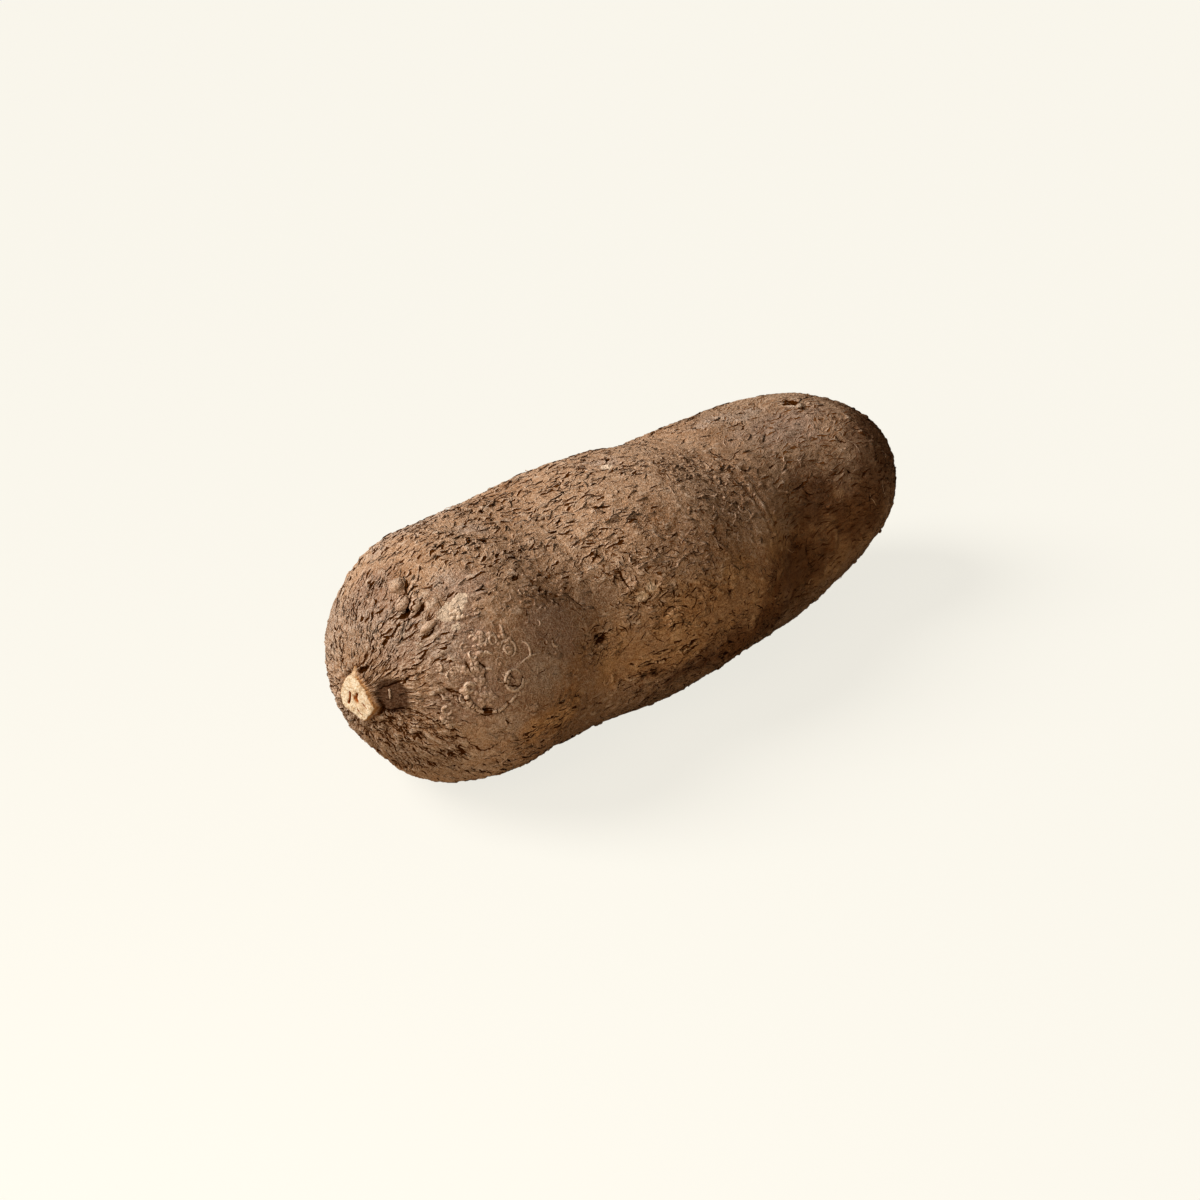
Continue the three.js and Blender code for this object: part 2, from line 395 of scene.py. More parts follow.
# -- Cracks: a path of places (distance from the stalk end, degrees round), half-width and depth.
CRACKS = [
    ([(179, 106), (183, 120), (185, 138), (184, 158), (181, 176), (178, 190)], 0.06, 0.8),  # waist fold
    ([(188, 120), (190, 134), (190, 150), (188, 162)], 0.12, 0.5),
    ([(150.6, 157), (149.4, 162.5), (146.7, 168.5), (148.6, 173)], 0.24, 0.8),
    ([(185.6, 101), (186, 105), (188.2, 110.2), (192, 111.8)], 0.38, 0.8),
    ([(192, 111.8), (195.4, 110.2), (199.9, 109.5)], 0.30, 0.6),
    ([(21.9, 95.6), (20.9, 98.4), (18.6, 100.0), (16.2, 98.4)], 0.62, 1.8),  # beside the warts
    ([(18.6, 105.0), (17.0, 107.2), (14.7, 109.0), (11.9, 107.6)], 0.85, 2.3),
    ([(19.4, 113.0), (17.4, 115.0), (14.7, 113.8)], 0.70, 1.9),
    ([(9.6, 109.2), (8.6, 108.8), (7.5, 110.4)], 0.70, 1.8),
    ([(25.8, 118.4), (28.2, 117.6), (30.6, 118.0)], 0.50, 1.3),
    ([(18.4, 126.2), (15.6, 127.9), (12.6, 129.0)], 0.42, 1.4),
    ([(16.9, 120.6), (19.6, 119.8)], 0.25, 0.8),
    ([(0.8, 77), (1.35, 102)], 0.95, 2.2),  # hole above the stub
    ([(1.5, 86.8), (2.1, 91.2), (2.9, 94.5)], 0.42, 1.2),
    ([(0.72, 43), (1.13, 78), (1.6, 87), (3.0, 93)], 0.35, 1.0),  # both sides of the tongue above the stub
    ([(0.85, 68), (1.35, 82)], 0.30, 0.8),
    ([(0.8, 153), (1.7, 148), (2.9, 147.5), (4.4, 147.8), (7.5, 147)], 0.40, 1.1),  # hollow's edges
    ([(0.8, 215), (1.6, 195), (3.0, 184), (6.0, 187), (8.5, 189)], 0.42, 1.2),
    ([(85.0, 169.5), (88.0, 168), (90.3, 166.5)], 0.75, 2.0),  # split in the dent
    ([(83.5, 167), (88.1, 165)], 0.34, 1.1),
    ([(87.4, 171), (91.0, 168.8)], 0.42, 1.3),
    ([(102.7, 140.8), (103.1, 146.8), (103.5, 153.2)], 0.32, 1.0),  # on the shaded side
    ([(101.0, 141.5), (101.4, 146)], 0.22, 0.6),
    ([(107.2, 159), (108.3, 160.7), (109.7, 159.4)], 0.22, 0.6),
    ([(114.8, 167.8), (117.5, 166.5), (119.8, 168.2)], 0.28, 0.8),
    ([(115.9, 175), (120.5, 174)], 0.34, 0.8),
    ([(125.6, 176.5), (130.6, 173.8)], 0.24, 0.7),
    ([(18.6, 178.0), (22.8, 181.4), (27.2, 181.0), (31.1, 178.2)], 0.32, 1.0),  # swirl on the stalk end
    ([(21.5, 177.2), (25.5, 177.4)], 0.34, 0.8),
    ([(30.2, 165.5), (33, 169.3), (37, 169.2), (38.6, 166.3)], 0.28, 0.8),
    ([(33.4, 161.5), (34.8, 166)], 0.26, 0.7),
    ([(31.0, 177.6), (32.8, 175.6)], 0.42, 0.9),
    ([(30.5, 185.2), (31.1, 187.2), (32.4, 187.4)], 0.34, 0.8),
    ([(10.0, 185.6), (12.0, 189.2), (14.2, 193.2)], 0.42, 1.3),
    ([(58.2, 156.4), (57.8, 158.4), (59.4, 160.2)], 0.30, 0.7),
    ([(24.4, 152.8), (25.1, 157), (24.2, 161.5)], 0.45, 1.3),
    ([(20.0, 151.5), (20.5, 155.5)], 0.40, 1.0),
    ([(16.9, 168.2), (18.6, 173.2), (20.3, 175.2)], 0.36, 1.0),
    ([(12.9, 161.5), (14.2, 167.8)], 0.34, 0.9),
    ([(10.2, 164), (11.4, 169)], 0.32, 0.8),
    ([(18.1, 199.8), (22.2, 203.8), (25.6, 205.5), (27.9, 202.3), (30.4, 197.2)], 0.30, 0.9),
    ([(15.7, 205.5), (18.5, 209), (21.4, 211.5)], 0.60, 1.2),
    ([(4.8, 320), (4.1, 310), (3.5, 300), (3.1, 288)], 1.15, 3.0),  # under the stub
    ([(0.72, 216), (0.9, 206), (1.2, 196)], 0.55, 1.5),
    ([(1.9, 277), (1.5, 254), (1.6, 230), (1.9, 216), (2.9, 205)], 0.36, 1.2),
    ([(1.3, 2), (1.8, 353), (2.7, 340)], 0.45, 1.2),
    ([(0.75, 29), (0.9, 40)], 0.60, 1.4),
    ([(3.2, 203), (4.6, 211)], 0.34, 1.0),
    ([(5.9, 210.5), (7.3, 213.5), (8.9, 217)], 0.55, 1.4),
    ([(6.1, 206), (8.7, 211)], 0.48, 1.3),
    ([(7.3, 200), (9.1, 201.5), (11.2, 203.5)], 0.36, 1.1),
    ([(13.2, 236), (17.2, 236)], 0.55, 1.2),
    ([(14.0, 163), (15.6, 166.5), (16.6, 170)], 0.26, 0.8),
    ([(245.2, 91.5), (249.0, 94.5), (250.8, 99.5)], 1.5, 2.2),  # scar of a side root
    ([(243.6, 94.5), (246.4, 97.0)], 1.1, 1.6),
    ([(248.4, 127.2), (251.7, 133)], 0.45, 1.0),  # short ones on the growing end
    ([(260.8, 126.5), (263.9, 129.5)], 0.35, 0.8),
    ([(244.8, 146.2), (245.8, 148.3)], 0.45, 1.0),
    ([(259.2, 100.8), (260.8, 103.5)], 0.40, 0.8),
    ([(247.9, 107.3), (249.6, 108.8)], 0.35, 0.7),
    ([(209.7, 93.5), (214, 95.2)], 0.45, 1.0),
    ([(210.8, 99.5), (215.8, 97.8)], 0.30, 0.7),
    ([(190.9, 119.3), (195, 120.5)], 0.35, 0.8),
    ([(205.4, 125.2), (209.7, 124.2)], 0.30, 0.7),
    ([(212.6, 142), (220.4, 140.8)], 0.40, 0.9),
    ([(219.7, 144.5), (222.8, 148.3)], 0.35, 0.8),
    ([(120, 352), (124, 5), (123, 18)], 0.35, 1.1),  # far side
    ([(205, 20), (208, 2), (206, 345)], 0.30, 1.0),
    ([(52, 318), (60, 325), (66, 322)], 0.35, 1.0),
    ([(268, 210), (272, 222), (270, 236)], 0.25, 0.8),
]
SHORT_CRACKS = 220  # scattered over the whole tuber, mostly along it
FAN_CRACKS = 190  # fanning from the stub under the stalk end
CRACK_REACH = 4.0  # past this distance a crack no longer counts
NARROWEST_GROOVE = 0.95  # half-width, about the width of one cell of the grid

rng = np.random.default_rng(61)
short_cracks = []
for _ in range(SHORT_CRACKS):
    at, turned = rng.uniform(8, 292), rng.uniform(0, 360)
    run, skew, bow = rng.uniform(2.0, 6.0), rng.normal(0, 2.2), rng.normal(0, 1.2)
    path = [(at - run / 2, turned - skew), (at, turned + bow), (at + run / 2, turned + skew)]
    short_cracks.append((path, rng.uniform(0.10, 0.26), rng.uniform(0.3, 0.9)))
for _ in range(FAN_CRACKS):
    start, turned = 8 + 34 * rng.random(), rng.uniform(192, 320)
    run, bow = rng.uniform(2.5, 9.0), rng.normal(0, 25 / start)
    places = np.interp((start, start + run / 2, start + run), row_travel, row_x)
    path = list(zip(places, (turned, turned + bow, turned + rng.normal(0, 20 / start))))
    short_cracks.append((path, rng.uniform(0.14, 0.32), rng.uniform(0.35, 0.90)))

wander = [noise(smooth_body, 3.0, 21 + k) + 0.5 * noise(smooth_body, 1.3, 25 + k) for k in range(3)]
wandering = smooth_body + 0.7 * np.stack(wander, -1)


def stretches(points, outs, path):
    """For each straight stretch of a path over the body: the distance from each point, with a sign for
    the side that the point is on, and how far along the whole path it is, from 0 to 1."""
    stops = np.array([spot(at, round_degrees) for at, round_degrees in path])
    for i, (start, end) in enumerate(zip(stops[:-1], stops[1:])):
        run = end - start
        share = np.clip((points - start) @ run / (run @ run), 0, 1)
        away = points - start - share[..., None] * run
        side = np.where((np.cross(outs, run) * away).sum(-1) < 0, -1.0, 1.0)
        yield side * np.linalg.norm(away, axis=-1), (i + share) / (len(stops) - 1)


crack_side = np.full(X.shape, CRACK_REACH)
crack_open = np.zeros_like(X)
cut = np.zeros_like(X)
for path, half_open, depth in CRACKS + short_cracks:
    places = np.array([at for at, _ in path])
    near = (row_x > places.min() - CRACK_REACH) & (row_x < places.max() + CRACK_REACH)
    for signed, share in stretches(wandering[near], out_of_body[near], path):
        taper = 1 - np.abs(2 * share - 1) ** 3
        closer = np.abs(signed) < np.abs(crack_side[near])
        crack_side[near] = np.where(closer, signed, crack_side[near])
        crack_open[near] = np.where(closer, half_open * (0.25 + 0.75 * taper), crack_open[near])
        groove = depth * taper * bell(signed, max(NARROWEST_GROOVE, half_open))
        cut[near] = np.maximum(cut[near], groove)

# -- Scars where feeder roots broke off: a sunk core with a raised, ragged lip.
SIDE_ROOT = (247.5, 97)  # the largest one: distance from the stalk end, degrees round
SCARS = [  # the same two, radius and depth
    (*SIDE_ROOT, 2.6, 0.9),
    (104, 66, 2.2, 0.6),
    (150, 350, 3.2, 0.9),
    (70, 300, 2.6, 0.7),
    (222, 250, 2.4, 0.6),
]
SMALL_SCARS = 70
SMALL_SCAR_DEPTH = 0.35
WARTS = [  # large ones and lesser knobs: distance from the stalk end, degrees round, radius and height
    (18.7, 94.0, 3.6, 1.1),
    (15.6, 103.8, 3.2, 1.1),
    (17.4, 110.8, 2.8, 1.0),
    (15.9, 124.0, 2.8, 0.6),
    (22.0, 155.0, 2.5, 1.0),
    (17.7, 152.5, 2.0, 0.9),
    (22.2, 161.0, 1.5, 0.7),
    (23.7, 170.8, 2.7, 0.5),
    (36.3, 147.2, 1.5, 0.6),
    (36.1, 152.2, 1.4, 0.5),
    (45.8, 164.2, 1.4, 0.4),
    (41.6, 181.8, 2.2, 0.5),
    (33.3, 177.5, 1.6, 0.6),
    (95.0, 198.0, 2.0, 0.7),
    (118.2, 170.5, 2.2, 0.6),
    (105.5, 152.0, 1.8, 0.6),
]
small_scars = zip(
    rng.uniform(12, 290, SMALL_SCARS), rng.uniform(0, 360, SMALL_SCARS), rng.uniform(0.8, 1.6, SMALL_SCARS)
)
scar_rise = np.zeros_like(X)
scar_core = np.zeros_like(X)
for at, round_degrees, radius, depth in SCARS + [(*scar, SMALL_SCAR_DEPTH) for scar in small_scars]:
    away = distance(wandering, spot(at, round_degrees)) / radius
    scar_rise += depth * (0.9 * bell(away - 1.15, 0.35) - bell(away, 0.75))
    scar_core = np.maximum(scar_core, np.exp(-((away / 0.8) ** 4)) * min(1, radius / 4))

wart_rise = np.zeros_like(X)
knobby = np.zeros_like(X)
for at, round_degrees, radius, height in WARTS:
    bump = 1 - step_up(distance(wandering, spot(at, round_degrees)), 0.45 * radius, 1.15 * radius)
    wart_rise += height * bump
    knobby = np.maximum(knobby, bump)

# -- Rough cork: lumps, plates that tilt and part, layers that end in a step, grooves that fan from the
# stub, and the rings of the swirl. Plates and layers are gentler where the skin is smooth.
PLATE = (6.0, 2.9, 2.9)
LAYER = (13.0, 4.6, 4.6)
LAYER_COUNT = 4


def layered(height, count):
    """Each layer climbs slowly and ends in a step down: three parts of its width up and one down."""
    part = (height * count) % 1
    return np.minimum(part / 0.75, (1 - part) / 0.25)


rough = (1 - 0.65 * smooth) * (1 - 0.35 * wrinkled) * (1 - 0.7 * knobby)
lumps = 0.34 * noise(smooth_body, 13, 31) + 0.18 * noise(smooth_body, 6, 32)
grain_warp = grain + 1.5 * np.stack([noise(smooth_body, 6, 33 + k) for k in range(3)], -1)
plate_border, plate_tilt = plates(grain_warp / PLATE, 41)
plate_rise = 1.1 * plate_tilt - 0.22 * (1 - step_up(plate_border, 0, 0.16))
layer_rise = 0.30 * layered(noise(grain_warp / LAYER, 1, 44), LAYER_COUNT)
knobs_here = step_up(noise(smooth_body, 24, 46), -0.1, 0.4)
knobs = 0.8 * step_up(noise(smooth_body, 4.2, 45), 0.62, 0.95) * knobs_here

near_stub = 1 - step_up(TRAVEL, 18, 40)
fan_grooves = np.abs(noise(grain * (0.09, 0.75, 0.75), 1, 43))
fan_rise = 0.55 * near_stub * step_up(fan_grooves, 0, 0.35)

FOLD = (9.0, 2.1, 2.1)
fold = 1 - np.minimum(np.abs(noise(grain_warp / FOLD, 1, 81)) / 0.42, 1)
fold_rise = np.maximum(0.26 * wrinkled, 0.65 * crinkled) * (fold - 0.25)
fold_rise *= 1 - bell(distance(smooth_body, spot(*SIDE_ROOT)), 7)

SWIRL = (39, 165)  # its middle: distance from the stalk end, degrees round
SWIRL_STEP = 3.6  # from ring to ring
SWIRL_REACH = 11
swirl = distance(wandering, spot(*SWIRL))
swirl_rise = 0.30 * np.cos(tau * swirl / SWIRL_STEP) * bell(swirl, SWIRL_REACH)

rise = form_rise + lumps + knobs + rough * (plate_rise + layer_rise)
rise += fan_rise + fold_rise * (1 - knobby) + swirl_rise + scar_rise + 0.5 * wart_rise - cut

# -- The stub: a broken, nearly level face with a tongue at the top, a pith hole and splits, a crevice in
# places round its foot, painted dark as shade, and a smooth hollow beside it, darkened by painted shade.
STUB_MIDDLE = (0.8, -1.3)  # of the broken face, across and up from the pole of the body
STUB_OUTLINE = [  # degrees round, and radius of the broken face
    (12, 7.1),
    (36, 6.7),
    (58, 7.7),
    (83, 7.7),
    (102, 6.8),
    (129, 6.5),
    (160, 6.4),
    (187, 8.5),
    (200, 7.8),
    (222, 7.3),
    (248, 8.1),
    (263, 7.3),
    (287, 6.1),
    (308, 6.5),
    (318, 8.3),
    (345, 8.6),
]
across_stub = smooth_body[..., 1] - spot(0, 0)[1] - STUB_MIDDLE[0]
up_stub = smooth_body[..., 2] - spot(0, 0)[2] - STUB_MIDDLE[1]
outline_degrees, outline_radii = np.array(STUB_OUTLINE).T
round_stub = np.degrees(np.arctan2(up_stub, across_stub))
broken_edge = np.interp(round_stub, outline_degrees, outline_radii, period=360)
stub_ragged = 0.28 * noise(smooth_body, 1.4, 51) + 0.15 * noise(smooth_body, 3.5, 52)
past_edge = distance(smooth_body, spot(0, 0) + (0, *STUB_MIDDLE)) + stub_ragged - broken_edge
on_stub = 1 - step_up(past_edge, 0.0, 1.1)
face = 1 - step_up(past_edge, -0.3, 0.4)
face_rough = 0.22 * noise(smooth_body, 0.9, 53) + 0.40 * noise(smooth_body, 3.1, 54)


def off_line(start, end):
    """For a straight line on the broken face between two places (across and up): the distance of each
    point from it, and the share of the line that is behind the point."""
    (x0, y0), (x1, y1) = start, end
    run_x, run_y = x1 - x0, y1 - y0
    share = ((across_stub - x0) * run_x + (up_stub - y0) * run_y) / (run_x**2 + run_y**2)
    share = np.clip(share, 0, 1)
    return np.hypot(across_stub - x0 - share * run_x, up_stub - y0 - share * run_y), share


STUB_SPLITS = [  # start, end and half-width
    ((2.6, 1.4), (3.0, -1.4), 0.42),
    ((3.0, -1.4), (4.0, -3.2), 0.44),
    ((-1.2, 2.2), (-0.2, 0.2), 0.40),
    ((-3.8, -0.8), (-5.0, -1.8), 0.34),
    ((-0.6, -4.0), (-1.8, -5.4), 0.26),
]
PITH_HOLE = ((0.3, -0.1), (-0.3, -0.6))  # its two ends
PITH_SPREAD = 1.05
stub_splits = np.max([bell(off_line(*ends)[0], half_open) for *ends, half_open in STUB_SPLITS], axis=0)
pith = bell(off_line(*PITH_HOLE)[0], PITH_SPREAD)

# A tongue of the broken wood runs up from the face and thins out against the skin.
TONGUE = ((2.2, 6.4), (3.1, 9.8))  # its root and its tip
from_tongue, up_tongue = off_line(*TONGUE)
tongue = 1 - step_up(from_tongue, 1.9 - 1.5 * up_tongue, 2.5 - 1.5 * up_tongue)
woody = np.maximum(on_stub, tongue)

# The crevice round its foot is open in these places: degrees round, spread and depth.
STUB_GAPS = [(-65, 28, 1.0), (-158, 14, 1.0), (48, 12, 0.7), (5, 10, 0.4)]
foot_open = sum(depth * bell(round_stub - at, spread) for at, spread, depth in STUB_GAPS)
foot_open = np.clip(foot_open, 0, 1) * (1 - tongue)
foot = bell(past_edge - 1.6, 0.7) * foot_open
collar = bell(past_edge + stub_ragged - 4.4, 1.7)

HOLLOW_MIDDLE = (1.9, 168)  # distance from the stalk end, degrees round
HOLLOW_SPREAD = 6.8
hollow = step_up(bell(distance(wandering, spot(*HOLLOW_MIDDLE)), HOLLOW_SPREAD), 0.06, 0.92)
hollow = hollow * (1 - woody)
stub_rise = on_stub * (STUB_HEIGHT - 0.55 + face_rough - 1.1 * pith - 0.8 * stub_splits)
stub_rise = np.maximum(stub_rise, tongue * (2.4 - 2.0 * up_tongue))
rise = rise * (1 - 0.9 * woody) * (1 - 0.92 * hollow) + stub_rise - 1.5 * foot + 0.5 * collar - 1.0 * hollow


def blurred(values, reach):
    """The mean over a square of the grid: a running mean along the rows, then round the columns."""
    for shift_axis in (0, 1):
        values = sum(np.roll(values, k, shift_axis) for k in range(-reach, reach + 1)) / (2 * reach + 1)
    return values


# It paints the colour paler where a place stands up and darker where it lies low, as painted highlight and
# shade.
relief_shading = rise - blurred(rise, 3)  # how far a place stands above the skin just round it

# -- The surface, in its place in the frame.
skin_points = above_floor(smooth_body + out_of_body * rise[..., None])

solid_middle = MM * (solid_low + solid_high) / 2
cad_low, cad_high = (np.array(corner) for corner in cad_box)
place = (cad_low + cad_high) / 2 - solid_middle
place[2] = cad_low[2] - MM * solid_low[2]
skin_points = skin_points * MM + place
ROWS = len(row_x)


def add_piece(name, points, faces, fields):
    """A smooth-shaded mesh on the tuber, with one attribute for each named field of its points."""
    mesh = bpy.data.meshes.new(name)
    mesh.from_pydata(points.tolist(), [], faces)
    mesh.shade_smooth()
    for label, values in fields.items():
        kind, key = ("FLOAT_VECTOR", "vector") if values.ndim == 2 else ("FLOAT", "value")
        attribute = mesh.attributes.new(label, kind, "POINT")
        attribute.data.foreach_set(key, np.ravel(values).astype(np.float32))
    piece = bpy.data.objects.new(name, mesh)
    bpy.context.scene.collection.objects.link(piece)
    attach(piece, "root")
    return piece


def wrapped(rings, columns):
    """Faces over a grid of points that closes round: quads from ring to ring, and then a fan of triangles
    to one tip before the first ring and to one past the last. The two tips follow the grid's points."""
    ring = np.arange(rings * columns).reshape(rings, columns)
    beside = np.roll(ring, -1, axis=1)
    quads = np.stack([ring[:-1], beside[:-1], beside[1:], ring[1:]], -1).reshape(-1, 4)
    tip = np.full(columns, rings * columns)
    first_fan = np.stack([tip, beside[0], ring[0]], -1)
    last_fan = np.stack([tip + 1, ring[-1], beside[-1]], -1)
    return quads, np.concatenate([first_fan, last_fan])


def repeated(count, points_each, *shapes):
    """The faces of many small meshes of one kind, whose points follow one another: all faces of the first
    shape, then all of the next."""
    first_point = points_each * np.arange(count)[:, None, None]
    faces = []
    for shape in shapes:
        faces += (first_point + shape).reshape(-1, shape.shape[-1]).tolist()
    return faces


def with_tips(values):
    """A grid's values as a list, followed by the mean of its first and of its last row for the two tips."""
    tips = np.stack([values[0].mean(0), values[-1].mean(0)])
    return np.concatenate([values.reshape(ROWS * COLUMNS, *values.shape[2:]), tips])


skin_fields = {
    "grain": grain,
    "crack_side": crack_side,
    "crack_open": crack_open,
    "crevice_shade": foot,
    "relief_shading": relief_shading * (1 - woody),
    **covers,
    "wrinkled": wrinkled,
    "crinkled": crinkled,
    "knobby": knobby,
    "scar": scar_core,
    "broken_wood": woody,
    "face": np.maximum(face, 0.80 * tongue * (1 - 0.4 * up_tongue)),
    "pith": pith * on_stub,
    "stub_split": stub_splits * on_stub,
    "hollow": hollow,
}

quads, fans = wrapped(ROWS, COLUMNS)
skin = add_piece(
    "skin",
    with_tips(skin_points),
    quads.tolist() + fans.tolist(),
    {label: with_tips(values) for label, values in skin_fields.items()},
)

# The skin unrolled for the bake: round the tuber is u and along it is v.
turn = np.arange(COLUMNS) / COLUMNS
next_turn = turn + 1 / COLUMNS
v_rows = np.concatenate([[0], row_travel, [whole]]) / whole
low_v = np.broadcast_to(v_rows[1:-2, None], (ROWS - 1, COLUMNS))
high_v = np.broadcast_to(v_rows[2:-1, None], (ROWS - 1, COLUMNS))
u0, u1 = np.broadcast_to(turn, low_v.shape), np.broadcast_to(next_turn, low_v.shape)
quad_uv = np.stack([u0, low_v, u1, low_v, u1, high_v, u0, high_v], -1)
middle = (turn + next_turn) / 2
flat = np.ones(COLUMNS)
stalk_uv = np.stack([middle, 0 * flat, next_turn, v_rows[1] * flat, turn, v_rows[1] * flat], -1)
growing_uv = np.stack([middle, flat, turn, v_rows[-2] * flat, next_turn, v_rows[-2] * flat], -1)
unrolled = skin.data.uv_layers.new(name="OFBake")
unrolled.data.foreach_set(
    "uv", np.concatenate([part.ravel() for part in (quad_uv, stalk_uv, growing_uv)]).astype(np.float32)
)


class Field:
    """A value that varies over a surface: one output of a shader node. Arithmetic on fields adds nodes."""

    def __init__(self, tree, socket):
        self.tree = tree
        self.socket = socket

    def node(self, kind, inputs, output=0, **settings):
        """A new node: its settings are properties, and its inputs are numbers, tuples or fields."""
        made = self.tree.nodes.new(kind)
        for label, value in settings.items():
            setattr(made, label, value)
        for key, value in inputs.items():
            if isinstance(value, Field):
                self.tree.links.new(value.socket, made.inputs[key])
            else:
                made.inputs[key].default_value = value
        return Field(self.tree, made.outputs[output])

    def _math(self, operation, *others):
        inputs = dict(enumerate((self, *others)))
        return self.node("ShaderNodeMath", inputs, operation=operation)

    def __add__(self, other):
        return self._math("ADD", other)

    def __sub__(self, other):
        return self._math("SUBTRACT", other)

    def __mul__(self, other):
        return self._math("MULTIPLY", other)

    def __neg__(self):
        return self._math("MULTIPLY", -1)

    def most(self, other):
        return self._math("MAXIMUM", other)

    def size(self):
        return self._math("ABSOLUTE")

    def sine(self):
        return self._math("SINE")

    def cosine(self):
        return self._math("COSINE")

    def over(self, other):
        return self._math("DIVIDE", other)

    def ramp(self, low, high, start=0.0, end=1.0):
        """start below low, end above high, and smooth between."""
        values = {"Value": self, "From Min": low, "From Max": high, "To Min": start, "To Max": end}
        return self.node("ShaderNodeMapRange", values, interpolation_type="SMOOTHSTEP")

    def scaled(self, scale):
        return self.node("ShaderNodeVectorMath", {0: self, 1: scale}, operation="MULTIPLY")

    def moved(self, other):
        return self.node("ShaderNodeVectorMath", {0: self, 1: other}, operation="ADD")

    def noise(self, scale, detail=2.0, roughness=0.5, output="Fac"):
        values = {"Vector": self, "Scale": scale, "Detail": detail, "Roughness": roughness}
        return self.node("ShaderNodeTexNoise", values, output)

    def seeds(self):
        """The nearest of a scatter of points, one to a unit cell: three random numbers and its place."""
        made = self.node("ShaderNodeTexVoronoi", {"Vector": self, "Scale": 1.0}, "Color")
        return made, Field(self.tree, made.socket.node.outputs["Position"])

    def parts(self):
        """The three numbers of a vector."""
        made = self.node("ShaderNodeSeparateXYZ", {0: self})
        return [Field(self.tree, socket) for socket in made.socket.node.outputs]

    def dot(self, other):
        return self.node("ShaderNodeVectorMath", {0: self, 1: other}, "Value", operation="DOT_PRODUCT")

    def cross(self, other):
        return self.node("ShaderNodeVectorMath", {0: self, 1: other}, operation="CROSS_PRODUCT")

    def unit(self):
        return self.node("ShaderNodeVectorMath", {0: self}, operation="NORMALIZE")

    def mix(self, share, first, second):
        """The first colour where the share is 0 and the second where it is 1."""
        first, second = (c if isinstance(c, Field) else (*c, 1) for c in (first, second))
        return self.node("ShaderNodeMix", {0: share, 6: first, 7: second}, 2, data_type="RGBA")

    def tint(self, share, colour):
        """This colour, mixed with another by a share."""
        return self.mix(share, self, colour)

    def darkened(self, share, shade):
        """This colour, multiplied by a shade as far as the share goes."""
        inputs = {0: share, 6: self, 7: (*shade, 1)}
        return self.node("ShaderNodeMix", inputs, 2, data_type="RGBA", blend_type="MULTIPLY")


CORK = (0.540, 0.330, 0.197)
# Pale cork is painted highlight: on lips, crests, the tops of grains and streaks, and all that stands up.
PALE_CORK = (0.850, 0.650, 0.495)
# Golden cork is the painted highlight of rusty skin, and also its own golden patches and rubbed places.
GOLDEN_CORK = (0.900, 0.590, 0.340)
DEEP_CORK = (0.400, 0.208, 0.100)
# Painted shade round dark slits, cracks and low places; also the colour of scar cores and of the stub's
# side.
CRACK_SIDE = (0.250, 0.098, 0.028)
# The dark of slits, cracks and splits: partly the open split, partly painted shade.
CRACK = (0.072, 0.020, 0.002)
GREY_SKIN = (0.330, 0.190, 0.112)
# Rusty skin, partly painted warm bounced light on the shaded side.
RUST_AND_BOUNCE = (0.550, 0.280, 0.112)
SCUFF = (0.860, 0.650, 0.475)
# A dusty bloom, and painted light from below on the underside by the stalk end.
DUST_AND_LIGHT = (0.590, 0.440, 0.345)
CRINKLED = (0.450, 0.282, 0.200)
# These three are painted shade: in the dips of grains, streaks and wrinkles, in the patches of painted
# shade, and in the hollow beside the stub.
DIP_SHADE = (0.60, 0.45, 0.32)  # these three multiply the colour under them
SHADED = (0.46, 0.37, 0.30)
HOLLOW_SHADE = (0.21, 0.17, 0.145)
WOOD = (0.800, 0.665, 0.490)
WOOD_SHADE = (0.620, 0.430, 0.255)
WALL = (0.520, 0.270, 0.110)
PITH = (0.340, 0.095, 0.020)


